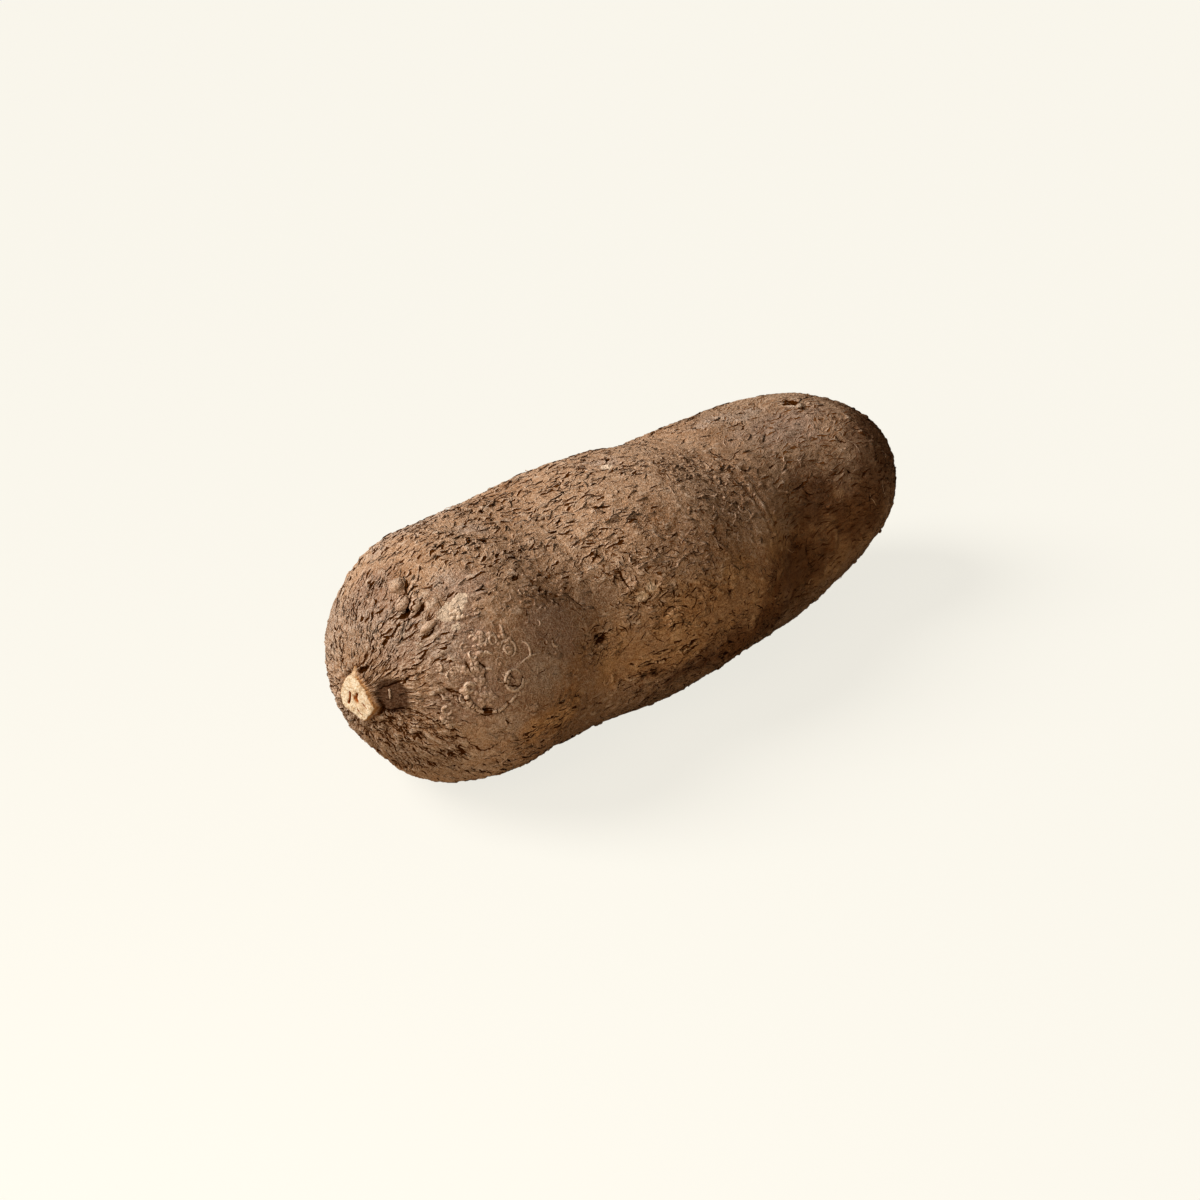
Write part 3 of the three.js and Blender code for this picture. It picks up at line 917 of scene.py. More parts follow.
def cork(name):
    """Corky skin: brown, split by dark slits with a raised lip on one side and by a net of finer cracks.
    The mesh's fields make it smooth, grey, rusty, dusted, scuffed or wrinkled in places, and turn it to
    broken wood. Light and shade are painted into the colour too: highlights on what stands up, shade in
    what lies low and round slits and cracks, and shade in patches and in the hollow by the stub. The rusty
    patches are partly painted warm bounced light, and the dust patches partly painted light from below. A
    placed crack is open where its half-width is more than the distance from it."""
    material = bpy.data.materials.new(name)
    material.use_nodes = True
    tree = material.node_tree
    shader = tree.nodes["Principled BSDF"]
    shader.inputs["Specular IOR Level"].default_value = 0.02
    blank = Field(tree, None)

    def mask(label):
        return blank.node("ShaderNodeAttribute", {}, "Fac", attribute_name=label)

    along = blank.node("ShaderNodeAttribute", {}, "Vector", attribute_name="grain")
    spot_mm = blank.node("ShaderNodeTexCoord", {}, "Object").scaled((1 / MM,) * 3)
    slow_warp = spot_mm.noise(0.07, 1, output="Color").moved((-0.5,) * 3).scaled((9.0,) * 3)
    quick_warp = spot_mm.noise(0.45, 2, output="Color").moved((-0.5,) * 3).scaled((1.3,) * 3)
    warped = along.moved(slow_warp).moved(quick_warp)
    round_tuber = along.cross((1.0, 0.0, 0.0)).unit()

    smooth_here = mask("smooth").most(mask("hollow"))
    wood_here = mask("broken_wood")
    dashed_here = mask("dashed").ramp(0, 0.7, 0.06, 1)
    netted_here = mask("netted").ramp(0, 0.7, 0.15, 1) * mask("dashed").ramp(0, 1, 1, 0.25)
    wrinkled_here = mask("wrinkled")
    crinkled_here = mask("crinkled")
    coarse = smooth_here.ramp(0, 0.9, 1, 0.12) * wood_here.ramp(0, 0.5, 1, 0)
    patchy = spot_mm.noise(0.11, 2)

    def slits(length, spacing, half_open, absent, turning, salt, here):
        """Slits of one size, one to a cell of stretched space: where it is open, and its raised lip.
        A slit is as wide as 1 - (2 × place along it / its length)², is turned and bent at random, and
        is missing from a share of the cells, which grows to all of them where here falls to 0."""
        cell = warped.moved((salt, 0.4 * salt, 0.7 * salt)).scaled((1 / length, 1 / spacing, 1 / spacing))
        random, seed = cell.seeds()
        offset = (cell.moved(seed.scaled((-1,) * 3))).scaled((length, spacing, spacing))
        lean, bend, run = random.parts()
        angle = (lean - 0.5) * turning
        ahead, aside = offset.parts()[0], offset.dot(round_tuber)
        forward = ahead * angle.cosine() + aside * angle.sine()
        across = aside * angle.cosine() - ahead * angle.sine()
        across = across - forward * forward * (bend - 0.5) * (1.8 / length)
        reach = run.ramp(0, 1, 0.35 * length, 1.0 * length)
        end = (forward * 2).over(reach)
        missing = run - here.ramp(0, 1, 1.15, absent)
        opening = (-(end * end) + 1) * half_open - missing.ramp(0, 0.1, half_open, 0)
        beyond = across - opening
        split = (across.size() - opening).ramp(-0.06, 0.06, 1, 0)
        lip = beyond.ramp(-0.05, 0.05) * beyond.ramp(0.05, 0.65, 1, 0) * opening.ramp(0, 0.5 * half_open)
        return split, lip

    along_here = (dashed_here * patchy.ramp(0.30, 0.50, 0.5, 1)).most(wrinkled_here * 0.75)
    fan_here = crinkled_here * patchy.ramp(0.36, 0.50, 0.35, 1)
    fan_slit, fan_lip = slits(8.5, 2.8, 0.42, 0.56, 0.45, 19.0, fan_here)
    thin_slit, thin_lip = slits(5.5, 2.0, 0.24, 0.62, 0.5, 131.0, fan_here)
    long_slit, long_lip = slits(6.6, 3.2, 0.50, 0.56, 0.9, 0.0, along_here)
    mid_slit, mid_lip = slits(4.8, 2.8, 0.36, 0.66, 1.2, 31.0, along_here)
    short_slit, short_lip = slits(2.8, 2.0, 0.23, 0.80, 1.4, 57.0, along_here)
    bow_slit, bow_lip = slits(5.0, 4.4, 0.26, 0.46, tau, 83.0, netted_here)
    fleck_slit, fleck_lip = slits(2.8, 2.8, 0.19, 0.70, tau, 101.0, netted_here)
    along_slits = long_slit.most(mid_slit).most(short_slit * 0.8)
    other_slits = bow_slit.most(fleck_slit * 0.8).most(fan_slit).most(thin_slit * 0.8)
    slit_relief = along_slits.most(other_slits)
    slit = (along_slits * wrinkled_here.ramp(0, 0.8, 1, 0.45)).most(other_slits)
    lip = long_lip.most(mid_lip * 0.8).most(short_lip * 0.5).most(bow_lip).most(fleck_lip * 0.6)
    lip = lip.most(fan_lip).most(thin_lip * 0.6)

    def meander(size, half_open, salt):
        """Fine wandering cracks where stretched noise passes through its middle, and their shoulders."""
        cell = warped.moved((salt, 0.3 * salt, 0.6 * salt)).scaled((0.6 / size, 1 / size, 1 / size))
        off_middle = (cell.noise(1.0, 1) - 0.5).size() * size
        line = off_middle.ramp(0.35 * half_open, half_open, 1, 0)
        return line, off_middle.ramp(half_open, 2.6 * half_open, 1, 0) - line

    net_here = mask("netted").most(smooth_here * 0.4).ramp(0, 0.7, 0.12, 0.8)
    fine_here = spot_mm.noise(0.30, 1).ramp(0.45, 0.56) * net_here
    wide_here = spot_mm.noise(0.22, 1).ramp(0.45, 0.58) * net_here
    fine_gap, fine_shoulder = meander(2.3, 0.062, 11.0)
    wide_gap, wide_shoulder = meander(3.8, 0.075, 47.0)
    gaps = (fine_gap * fine_here).most(wide_gap * wide_here)
    shoulder = (fine_shoulder * fine_here).most(wide_shoulder * wide_here)

    swell = spot_mm.noise(0.30, 2)
    wrinkle = along.moved(slow_warp).scaled((0.30, 0.62, 0.62)).noise(1.0, 3, 0.62)
    crest = (wrinkle - 0.5).size().ramp(0, 0.13, 1, 0)
    streak = along.moved(slow_warp.scaled((0.5,) * 3)).scaled((0.20, 1.0, 1.0)).noise(1.0, 4, 0.66)
    grit = spot_mm.noise(1.0, 4, 0.68)
    speck = spot_mm.noise(1.9, 2, 0.6)
    edge_noise = spot_mm.noise(0.9, 2, 0.6)
    crack_depth = mask("crack_open") - mask("crack_side").size() + (edge_noise - 0.5) * 0.7
    cracked = crack_depth.ramp(-0.12, 0.12)

    height = lip * 0.45 + shoulder * 0.20 - slit_relief * 0.60 - gaps * 0.42 + swell * 1.0
    height = height * coarse + grit * 0.95 + speck * 0.35 - cracked * 0.5 + grit * mask("knobby") * 0.4
    height = height + (wrinkle * 1.2 + crest * 0.50) * wrinkled_here.ramp(0, 1, 0.15, 1) * coarse
    height = height + streak * crinkled_here.ramp(0, 1, 0.5, 2.4) * coarse
    beads = spot_mm.noise(0.50, 3, 0.65)
    height = height + beads * smooth_here * 0.9 + streak * mask("smooth") * 0.35
    bump = blank.node("ShaderNodeBump", {"Height": height, "Distance": MM, "Strength": 1.0}, "Normal")
    tree.links.new(bump.socket, shader.inputs["Normal"])

    # Colour: nearly even, and paler where it is rubbed. Light and shade are painted in: highlights on what
    # stands up, shade in what lies low, in slits and cracks, in patches and in the hollow by the stub.
    broad = spot_mm.noise(0.035, 3, 0.6)
    colour = blank.mix(broad.ramp(0.30, 0.56), DEEP_CORK, CORK)
    # Smooth skin is grey, and greyer in the dips between its beads, which is painted shade.
    colour = colour.tint(smooth_here * beads.ramp(0.38, 0.62, 0.9, 0.35), GREY_SKIN)
    colour = colour.tint(mask("grey") * 0.85, CRINKLED)
    # Rusty, partly as painted warm bounced light on the shaded side.
    colour = colour.tint(mask("rust_and_warm_bounce") * patchy.ramp(0.35, 0.65, 0.35, 1.0), RUST_AND_BOUNCE)
    colour = colour.tint(mask("rust_and_warm_bounce") * patchy.ramp(0.50, 0.64, 0, 0.40), GOLDEN_CORK)
    # Dusty bloom, with painted light from below on the underside by the stalk end.
    colour = colour.tint(mask("dust_and_painted_light") * spot_mm.noise(0.25, 4, 0.7).ramp(0.38, 0.62, 0.25, 0.85), DUST_AND_LIGHT)
    even_here = wrinkled_here.ramp(0, 1, 1, 0.4)
    # Painted highlight: paler on the tops of grains and specks, on lips, streaks and crests, on the grains
    # of warts, and on all that stands up.
    pale = grit.ramp(0.50, 0.70, 0, 0.55).most(speck.ramp(0.54, 0.66, 0, 0.55)) * even_here
    pale = pale.most(lip.most(shoulder * 0.6) * coarse * 0.75).most(mask("relief_shading").ramp(0.05, 0.55, 0, 0.8))
    pale = pale.most(crinkled_here * streak.ramp(0.54, 0.68, 0, 0.60)).most(wrinkled_here * crest * 0.28)
    pale = pale.most(mask("knobby") * grit.ramp(0.35, 0.60, 0.15, 0.6))
    colour = colour.tint(pale, blank.mix(mask("rust_and_warm_bounce"), PALE_CORK, GOLDEN_CORK))
    # Painted shade in the dips of grains, specks, streaks and wrinkles.
    colour = colour.darkened(grit.ramp(0.28, 0.46, 0.6, 0) * even_here, DIP_SHADE)
    colour = colour.darkened(speck.ramp(0.36, 0.50, 0.75, 0) * even_here, DIP_SHADE)
    colour = colour.darkened(streak.ramp(0.34, 0.50, 1, 0) * crinkled_here.ramp(0, 1, 0.35, 0.9), DIP_SHADE)
    colour = colour.darkened(wrinkled_here * wrinkle.ramp(0.36, 0.52, 0.55, 0), DIP_SHADE)
    colour = colour.tint(mask("scar") * 0.9, CRACK_SIDE)
    # Dark in slits, cracks, low places and the crevice round the stub: partly the open splits, partly
    # painted shade, with a softer painted shade round them.
    dark = slit.most(gaps * 0.8) * coarse
    dark = dark.most(mask("relief_shading").ramp(-1.0, -0.35, 0.45, 0))
    dark = dark.most(cracked).most(mask("crevice_shade").ramp(0.25, 0.7)) * wood_here.ramp(0, 0.5, 1, 0)
    colour = colour.tint(dark.ramp(0.0, 0.5), CRACK_SIDE).tint(dark.ramp(0.35, 1.0), CRACK)
    rubbed = (mask("scuffed") + (edge_noise - 0.5) * 0.9 + (streak - 0.5) * 0.5).ramp(0.42, 0.56)
    rubbed = rubbed * grit.ramp(0.30, 0.55, 0.7, 1.0) * dark.ramp(0, 1, 1, 0.5)
    colour = colour.tint(rubbed, blank.mix(mask("rust_and_warm_bounce"), SCUFF, GOLDEN_CORK))
    # Painted shade over its patches and in the hollow beside the stub.
    colour = colour.darkened(mask("painted_shade"), SHADED).darkened(mask("hollow").ramp(0.05, 0.5), HOLLOW_SHADE)
    fibres = spot_mm.noise(0.9, 3, 0.6)
    wood = blank.mix(fibres.ramp(0.36, 0.54), WOOD_SHADE, WOOD)
    wood = wood.tint(spot_mm.noise(0.35, 2).ramp(0.48, 0.60, 0, 0.55), WOOD_SHADE)
    wood = wood.tint(mask("pith").ramp(0.08, 0.35, 0, 0.6), WALL)
    wood = wood.tint(mask("pith").ramp(0.3, 0.7), PITH)
    wood = blank.mix(fibres.ramp(0.34, 0.60), CRACK_SIDE, WALL).tint(mask("face").ramp(0.25, 0.95), wood)
    wood = wood.tint(mask("stub_split").ramp(0.12, 0.4), PITH)
    wood = wood.tint(mask("stub_split").ramp(0.5, 0.9), CRACK)
    colour = colour.tint(wood_here.ramp(0.25, 0.75), wood)
    tree.links.new(colour.socket, shader.inputs["Base Color"])
    tree.links.new(grit.ramp(0.3, 0.7, 0.75, 0.95).socket, shader.inputs["Roughness"])
    return material


skin_cork = cork("skin_cork")
skin.data.materials.append(skin_cork)
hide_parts("yam")

# ==== Bark flakes =====================================================================================
# Slivers of cork that have torn loose along one edge, which makes the skin scaly. Each is a thin closed
# wedge of the skin's own cork: one long edge is sunk in the skin, and the other is a lip turned up.

FLAKES = 3600
FLAKE_ENDS = 16.0  # no flakes this close to either end

flake_rng = np.random.default_rng(83)
area_below = np.cumsum(half_width(row_x) * np.gradient(row_travel))
candidates = 4 * FLAKES
flake_travel = np.interp(flake_rng.random(candidates) * area_below[-1], area_below, row_travel)
flake_row = np.interp(flake_travel, row_travel, np.arange(ROWS))
flake_column = flake_rng.random(candidates) * COLUMNS

flaking = (0.12 + 0.88 * np.maximum(dashed, 0.7 * netted)) * (1 - 0.85 * smooth) * (1 - 0.7 * scuffed)
flaking *= 0.55 + 0.45 * step_up(noise(smooth_body, 13, 71), -0.4, 0.4)


def on_skin(values, row, column):
    """Values of the skin's grid at places between its points: rows and columns are weighted in turn."""
    row = np.clip(row, 0, ROWS - 1.001)
    low, left = np.floor(row).astype(int), np.floor(column).astype(int)
    down, right = row - low, column - left
    if values.ndim == 3:
        down, right = down[..., None], right[..., None]
    left, beyond = left % COLUMNS, (left + 1) % COLUMNS
    near = values[low, left] * (1 - right) + values[low, beyond] * right
    far = values[low + 1, left] * (1 - right) + values[low + 1, beyond] * right
    return near * (1 - down) + far * down


def over_skin(row, column, height):
    """Points over places on the skin, straight out of it by a height in millimetres."""
    raised = on_skin(skin_out, row, column) * height[..., None] * MM
    return above_floor(on_skin(skin_points, row, column) + raised)


def row_at(x):
    """The row of the skin's grid, whole or between two, at a distance from the stalk end."""
    return np.interp(x, row_x, np.arange(ROWS))


def column_at(round_degrees):
    """The column of the skin's grid, whole or between two, at an angle in degrees."""
    return round_degrees / 360 * COLUMNS


def column_step(row):
    """How wide a column of the skin's grid is, in millimetres, at a row."""
    return tau * 0.98 * half_width(np.interp(row, np.arange(ROWS), row_x)) / COLUMNS


wanted = flake_rng.random(candidates) < on_skin(flaking, flake_row, flake_column)
wanted &= (flake_travel > FLAKE_ENDS) & (flake_travel < whole - FLAKE_ENDS)
flake_row, flake_column = flake_row[wanted][:FLAKES], flake_column[wanted][:FLAKES]

flake_size = flake_rng.random(FLAKES) ** 2
flake_length = 2.4 + 4.6 * flake_size + 0.8 * flake_rng.random(FLAKES)
flake_width = 0.8 + 0.6 * flake_size + 0.3 * flake_rng.random(FLAKES)
flake_lift = 0.16 + 0.28 * flake_size + 0.25 * flake_rng.random(FLAKES) ** 3
flake_turn = flake_rng.normal(0, np.radians(20), FLAKES)
flake_bend = flake_rng.normal(0, 0.5, FLAKES)
lip_side = np.where(flake_rng.random(FLAKES) < 0.6, 1, -1)

# Each flake: three sections across it, with the sunk edge, the lip and the foot under the lip, between
# two pointed ends. Its outline is the lens sqrt(1 - u²), with u from -1 to 1 along it.
section = np.array([-0.6, 0.0, 0.6])
lens = np.sqrt(1 - section**2)
edge_across = np.array([-0.5, 0.5, 0.05])
edge_sunk = np.array([-0.12, 0.0, -0.30])
place_along = np.concatenate([[-1], np.repeat(section, 3), [1]])
place_across = np.concatenate([[0], np.outer(lens, edge_across).ravel(), [0]])
sunk = np.concatenate([[-0.15], np.tile(edge_sunk, 3), [-0.15]])
lifted = np.concatenate([[0], np.outer(lens, [0, 1, 0]).ravel(), [0]])
# How far each point stands up, for the colour: it paints a highlight along the lip.
relief = np.concatenate([[0], np.tile([0, 0.35, -0.40], 3), [0]])

forward = place_along * flake_length[:, None] / 2
sideways = place_across * (lip_side * flake_width)[:, None] + flake_bend[:, None] * (place_along**2 - 0.5)
run = forward * np.cos(flake_turn)[:, None] - sideways * np.sin(flake_turn)[:, None]
swing = forward * np.sin(flake_turn)[:, None] + sideways * np.cos(flake_turn)[:, None]
row = flake_row[:, None] + run / BODY_ROW
column = flake_column[:, None] + swing / column_step(row)

step_along = np.gradient(skin_points, axis=0)
step_round = np.roll(skin_points, -1, axis=1) - np.roll(skin_points, 1, axis=1)
skin_out = unit(np.cross(step_round, step_along))
flake_points = over_skin(row, column, sunk + lifted * flake_lift[:, None])

sunk_edge, lip, lip_foot = 1, 2, 3  # the points of the first section, with three more for each next one
last_tip = len(place_along) - 1
spans, ends = [], []
for first, second in ((sunk_edge, lip), (lip, lip_foot), (lip_foot, sunk_edge)):
    spans += [(first + 3 * k, second + 3 * k, second + 3 * k + 3, first + 3 * k + 3) for k in range(2)]
    ends += [(second, first, 0), (first + 6, second + 6, last_tip)]
shapes = (np.array(spans), np.array(ends))
turned = [np.where(lip_side[:, None, None] > 0, shape, shape[:, ::-1]) for shape in shapes]
flake_faces = repeated(FLAKES, len(place_along), *turned)


def fields_at(row, column, relief):
    """The skin's fields at places on it, with a relief for each of the new points, which paints it paler
    where it stands up and darker where it lies low, as painted highlight and shade.
    """
    fields = {label: on_skin(values, row, column) for label, values in skin_fields.items()}
    fields["relief_shading"] = np.broadcast_to(relief, row.shape)
    return fields


def listed(fields):
    """Each field as one long list of numbers, or of vectors, in the order of the points."""
    return {label: v.reshape(-1, 3) if v.ndim == 3 else v.ravel() for label, v in fields.items()}


flake_fields = listed(fields_at(row, column, relief))
bark_flakes = add_piece("bark_flakes", flake_points.reshape(-1, 3), flake_faces, flake_fields)
smooth_faces = np.tile([True, True, False, False, False, False], 2 * FLAKES)  # crisp under the lip
bark_flakes.data.polygons.foreach_set("use_smooth", smooth_faces)
bark_flakes.data.materials.append(skin_cork)

# ==== Cork lumps ======================================================================================
# Warts and grains of hard cork: four warts above the stub, the heel of a side root, heaps of small grains
# on the swirl and the side, and single grains all over. Each is a low closed dome, set in the skin.

# Distance from the stalk end, degrees round, half-length, half-width and height. The last is the heel.
WART_LUMPS = [
    (18.7, 93.6, 3.0, 2.4, 1.5),
    (15.4, 103.2, 3.5, 1.9, 1.7),
    (17.3, 110.4, 2.5, 1.7, 1.4),
    (15.9, 124.0, 3.9, 1.3, 1.1),
    (247.4, 102.0, 2.1, 1.1, 1.0),
]
HEAPS = [  # distance from the stalk end, degrees round, spread, grains
    (22.6, 156.5, 1.9, 26),
    (19.6, 155.0, 1.2, 12),
    (22.4, 161.5, 1.0, 8),
    (23.7, 170.8, 2.1, 24),
    (27.6, 144.0, 2.0, 16),
    (36.3, 147.2, 1.3, 8),
    (36.1, 152.2, 0.8, 5),
    (17.6, 165.5, 1.0, 8),
    (12.0, 184.0, 1.4, 12),
    (41.6, 181.8, 1.6, 8),
    (95.0, 198.0, 1.6, 10),
    (118.2, 170.5, 1.8, 12),
    (105.5, 152.0, 1.4, 8),
    (25.5, 129.0, 1.6, 10),
]
LOOSE_GRAINS = 420
DOME_SIDES = 10
DOME_RINGS = ((1.0, -0.30), (0.96, 0.30), (0.76, 0.72), (0.40, 0.95))  # shares of width and height
HEAP_GIRTH = 30.0  # radius of the tuber by the heaps, which turns millimetres round it into degrees

lump_rng = np.random.default_rng(113)
grain_places = []
for at, round_degrees, spread, grains in HEAPS:
    offset = lump_rng.normal(0, spread / 1.6, (grains, 2))
    heap_degrees = round_degrees + np.degrees(offset[:, 1] / HEAP_GIRTH)
    grain_places.append(np.column_stack([at + offset[:, 0], heap_degrees]))
loose = np.column_stack([lump_rng.uniform(14, 285, LOOSE_GRAINS), lump_rng.uniform(0, 360, LOOSE_GRAINS)])
grain_places = np.concatenate(grain_places + [loose])
grain_size = lump_rng.uniform(0.32, 0.80, len(grain_places))
grain_size[:-LOOSE_GRAINS] += 0.32
wart_x, wart_degrees, wart_along, wart_across, wart_high = np.array(WART_LUMPS).T
lump_row = row_at(np.concatenate([wart_x, grain_places[:, 0]]))
lump_column = column_at(np.concatenate([wart_degrees, grain_places[:, 1]]))
lump_along = np.concatenate([wart_along, grain_size * lump_rng.uniform(1.0, 1.7, len(grain_size))])
lump_across = np.concatenate([wart_across, grain_size])
lump_high = np.concatenate([wart_high, grain_size * lump_rng.uniform(0.6, 1.1, len(grain_size))])
LUMPS = len(lump_row)

# Each lump: rings of points from its foot up, then the middle of its underside and its top.
dome_angle = tau * np.arange(DOME_SIDES) / DOME_SIDES
ring_share, ring_high = np.array(DOME_RINGS).T
ragged = lump_rng.uniform(-0.14, 0.14, (LUMPS, 1, DOME_SIDES))
ragged[: len(wart_x)] *= 0.4
ragged_ring = (1 + ragged) * ring_share[:, None]
RINGS_UP = len(DOME_RINGS)
lump_ahead = np.zeros((LUMPS, RINGS_UP * DOME_SIDES + 2))
lump_aside, lump_above = np.zeros_like(lump_ahead), np.zeros_like(lump_ahead)
lump_ahead[:, :-2] = (ragged_ring * np.cos(dome_angle)).reshape(LUMPS, -1)
lump_aside[:, :-2] = (ragged_ring * np.sin(dome_angle)).reshape(LUMPS, -1)
lump_above[:] = np.concatenate([np.repeat(ring_high, DOME_SIDES), [-0.35, 1.0]])
row = lump_row[:, None] + lump_ahead * lump_along[:, None] / BODY_ROW
column = lump_column[:, None] + lump_aside * lump_across[:, None] / column_step(lump_row)[:, None]
lump_points = over_skin(row, column, lump_above * lump_high[:, None])
lump_faces = repeated(LUMPS, lump_points.shape[1], *wrapped(RINGS_UP, DOME_SIDES))
# Each lump is painted paler towards its top, as a highlight.
lump_fields = fields_at(row, column, 0.45 * lump_above - 0.1)
for label in ("crinkled", "dashed", "netted"):
    lump_fields[label][: len(wart_x)] = 0
cork_lumps = add_piece("cork_lumps", lump_points.reshape(-1, 3), lump_faces, listed(lump_fields))
cork_lumps.data.materials.append(skin_cork)

# ==== Ridges, curls and root hairs ====================================================================
# Raised cords and thin rolls of cork, which have dried into rings and hooks on the smoother skin, and the
# dry ends of feeder roots, which arch over it. Each is a closed tube, partly sunk in the skin.

TUBE_SIDES = 5


def tubes(middles, outs, radii):
    """Closed tubes round lines of points: a ring of points round each, across the line and outward from
    the skin, with one tip point past each end. Returns points and faces."""
    count, steps = middles.shape[:2]
    ahead = unit(np.gradient(middles, axis=1))
    beside = unit(np.cross(ahead, outs))
    up = np.cross(beside, ahead)
    round_tube = tau * np.arange(TUBE_SIDES) / TUBE_SIDES
    rings = beside[:, :, None] * np.cos(round_tube)[:, None] + up[:, :, None] * np.sin(round_tube)[:, None]
    rings = middles[:, :, None] + rings * radii[:, :, None, None]
    tips = []
    for end, sign in ((0, -1), (-1, 1)):
        tip = middles[:, end] + ahead[:, end] * sign * radii[:, end, None]
        tips.append(tip[:, None])
    points = np.concatenate([rings.reshape(count, -1, 3), *tips], axis=1)
    ring = np.arange(steps * TUBE_SIDES).reshape(steps, TUBE_SIDES)
    next_side = np.roll(ring, -1, axis=1)
    sides = np.stack([ring[:-1], ring[1:], next_side[1:], next_side[:-1]], -1).reshape(-1, 4)
    near_tip = steps * TUBE_SIDES + 0 * ring[0]
    near_cap = np.stack([near_tip, ring[0], next_side[0]], -1)
    far_cap = np.stack([near_tip + 1, next_side[-1], ring[-1]], -1)
    faces = repeated(count, points.shape[1], sides, np.concatenate([near_cap, far_cap]))
    return points.reshape(-1, 3), faces


def tube_fields(row, column, relief):
    """The skin's fields at lines of places on it, for every point of the tubes round them. The tubes stand
    clear of the painted shade in the hollow and in the patches of painted shade, so they take none of it."""
    fields = {}
    for label, there in fields_at(row, column, relief).items():
        ends = np.stack([there[:, 0], there[:, -1]], 1)
        fields[label] = np.concatenate([np.repeat(there, TUBE_SIDES, axis=1), ends], axis=1)
    for label in ("hollow", "painted_shade"):
        fields[label] = 0 * fields[label]
    return listed(fields)


RINGS = [  # distance from the stalk end, degrees round, radius, start and turn in degrees, thickness
    (19.0, 164.2, 1.7, 40, 330, 0.62),
    (12.1, 177.5, 1.7, 0, 300, 0.50),
    (36.1, 152.2, 1.9, 0, 320, 0.38),
    (36.1, 152.2, 3.4, 200, 250, 0.34),
    (34.6, 166.3, 4.2, 0, 340, 0.44),
    (34.0, 166.8, 2.6, 60, 220, 0.36),
    (31.1, 186.5, 1.3, 90, 170, 0.40),
    (59.5, 157.8, 2.0, 60, 170, 0.42),
    (26.0, 161.0, 2.8, 180, 150, 0.38),
    (28.3, 143.8, 1.6, 0, 350, 0.42),
    (31.8, 145.8, 1.7, 90, 350, 0.42),
    (25.4, 141.5, 1.3, 200, 260, 0.36),
    (23.0, 148.5, 1.5, 30, 240, 0.36),
    (14.8, 155.0, 1.4, 120, 260, 0.40),
    (12.6, 148.0, 1.5, 300, 200, 0.36),
    (41.0, 156.0, 4.0, 300, 120, 0.32),
]
RIDGES = [  # path of places (distance from the stalk end, degrees round), and thickness
    ([(17.8, 167), (17.6, 171), (18.6, 174.5), (20.4, 176)], 0.80),
    ([(18.9, 176.5), (22.8, 179.3), (27.2, 179.0), (31.1, 176.3), (34.6, 173)], 0.50),
    ([(10.6, 183.2), (12.1, 187.2), (14.0, 191.2)], 0.85),
    ([(25.0, 151), (27.5, 149.5), (29.5, 152)], 0.45),
    ([(39.0, 160), (44.0, 158.5), (50.0, 159.5)], 0.30),
    ([(108.3, 188.5), (111.0, 190.2), (113.2, 191), (115.0, 187.5)], 0.36),
    ([(117.1, 193.5), (118.5, 194), (120.5, 197.2)], 0.38),
    ([(118.5, 186.5), (120.5, 188.5), (123.0, 188), (124.5, 185)], 0.34),
    ([(103.0, 183.5), (105.0, 185.5), (107.5, 186)], 0.34),
    ([(98.5, 194), (101.0, 196.5), (103.5, 196)], 0.36),
    ([(126.5, 178), (129.5, 179.5), (132.5, 178.5)], 0.30),
    ([(1.8, 153), (1.7, 163), (1.6, 173)], 0.36),
    ([(91.7, 188.5), (92.4, 191), (91.6, 193.5)], 0.44),
]
LOOSE_CURLS = 60
SWIRL_CURLS = 16
CURL_STEPS = 9
PLACED_STEPS = 17
THICKENED = 1.45  # the rings and ridges are this much thicker than listed


def add_lines(name, row, column, thick, height, relief):
    """Tubes along lines of places on the skin, raised over it by a height in millimetres."""
    outs = on_skin(skin_out, row, column)
    middles = on_skin(skin_points, row, column) + outs * (height * MM)[..., None]
    points, faces = tubes(middles, outs, thick * MM)
    piece = add_piece(name, above_floor(points), faces, tube_fields(row, column, relief))
    piece.data.materials.append(skin_cork)


def around(x, round_degrees, radius, angle):
    """Rows and columns of a curve round a place on the skin: radius and angle for each of its steps."""
    row = row_at(x)[:, None]
    column = column_at(round_degrees)[:, None] + radius * np.sin(angle) / column_step(row)
    return row + radius * np.cos(angle) / BODY_ROW, column


share = np.linspace(0, 1, PLACED_STEPS)
ring_x, ring_degrees, ring_radius, ring_start, ring_turn, ring_thick = np.array(RINGS).T
ring_angle = np.radians(ring_start[:, None] + ring_turn[:, None] * share)
ring_rows = around(ring_x, ring_degrees, ring_radius[:, None] * (1 - 0.12 * share), ring_angle)
ridge_rows = []
for path, _ in RIDGES:
    places = np.array(path)
    part = share * (len(places) - 1)
    ridge_rows.append([np.interp(part, np.arange(len(places)), values) for values in places.T])
ridge_x, ridge_degrees = np.moveaxis(np.array(ridge_rows), 1, 0)
row = np.concatenate([ring_rows[0], row_at(ridge_x)])
column = np.concatenate([ring_rows[1], column_at(ridge_degrees)])
thick = THICKENED * np.concatenate([ring_thick, [thickness for _, thickness in RIDGES]])
thick = thick[:, None] * np.sqrt(1 - 0.9 * np.abs(2 * share - 1) ** 3)
# The last number paints the ridges and rings paler, as a highlight.
add_lines("cork_ridges", row, column, thick, 0.45 * thick, 0.5)

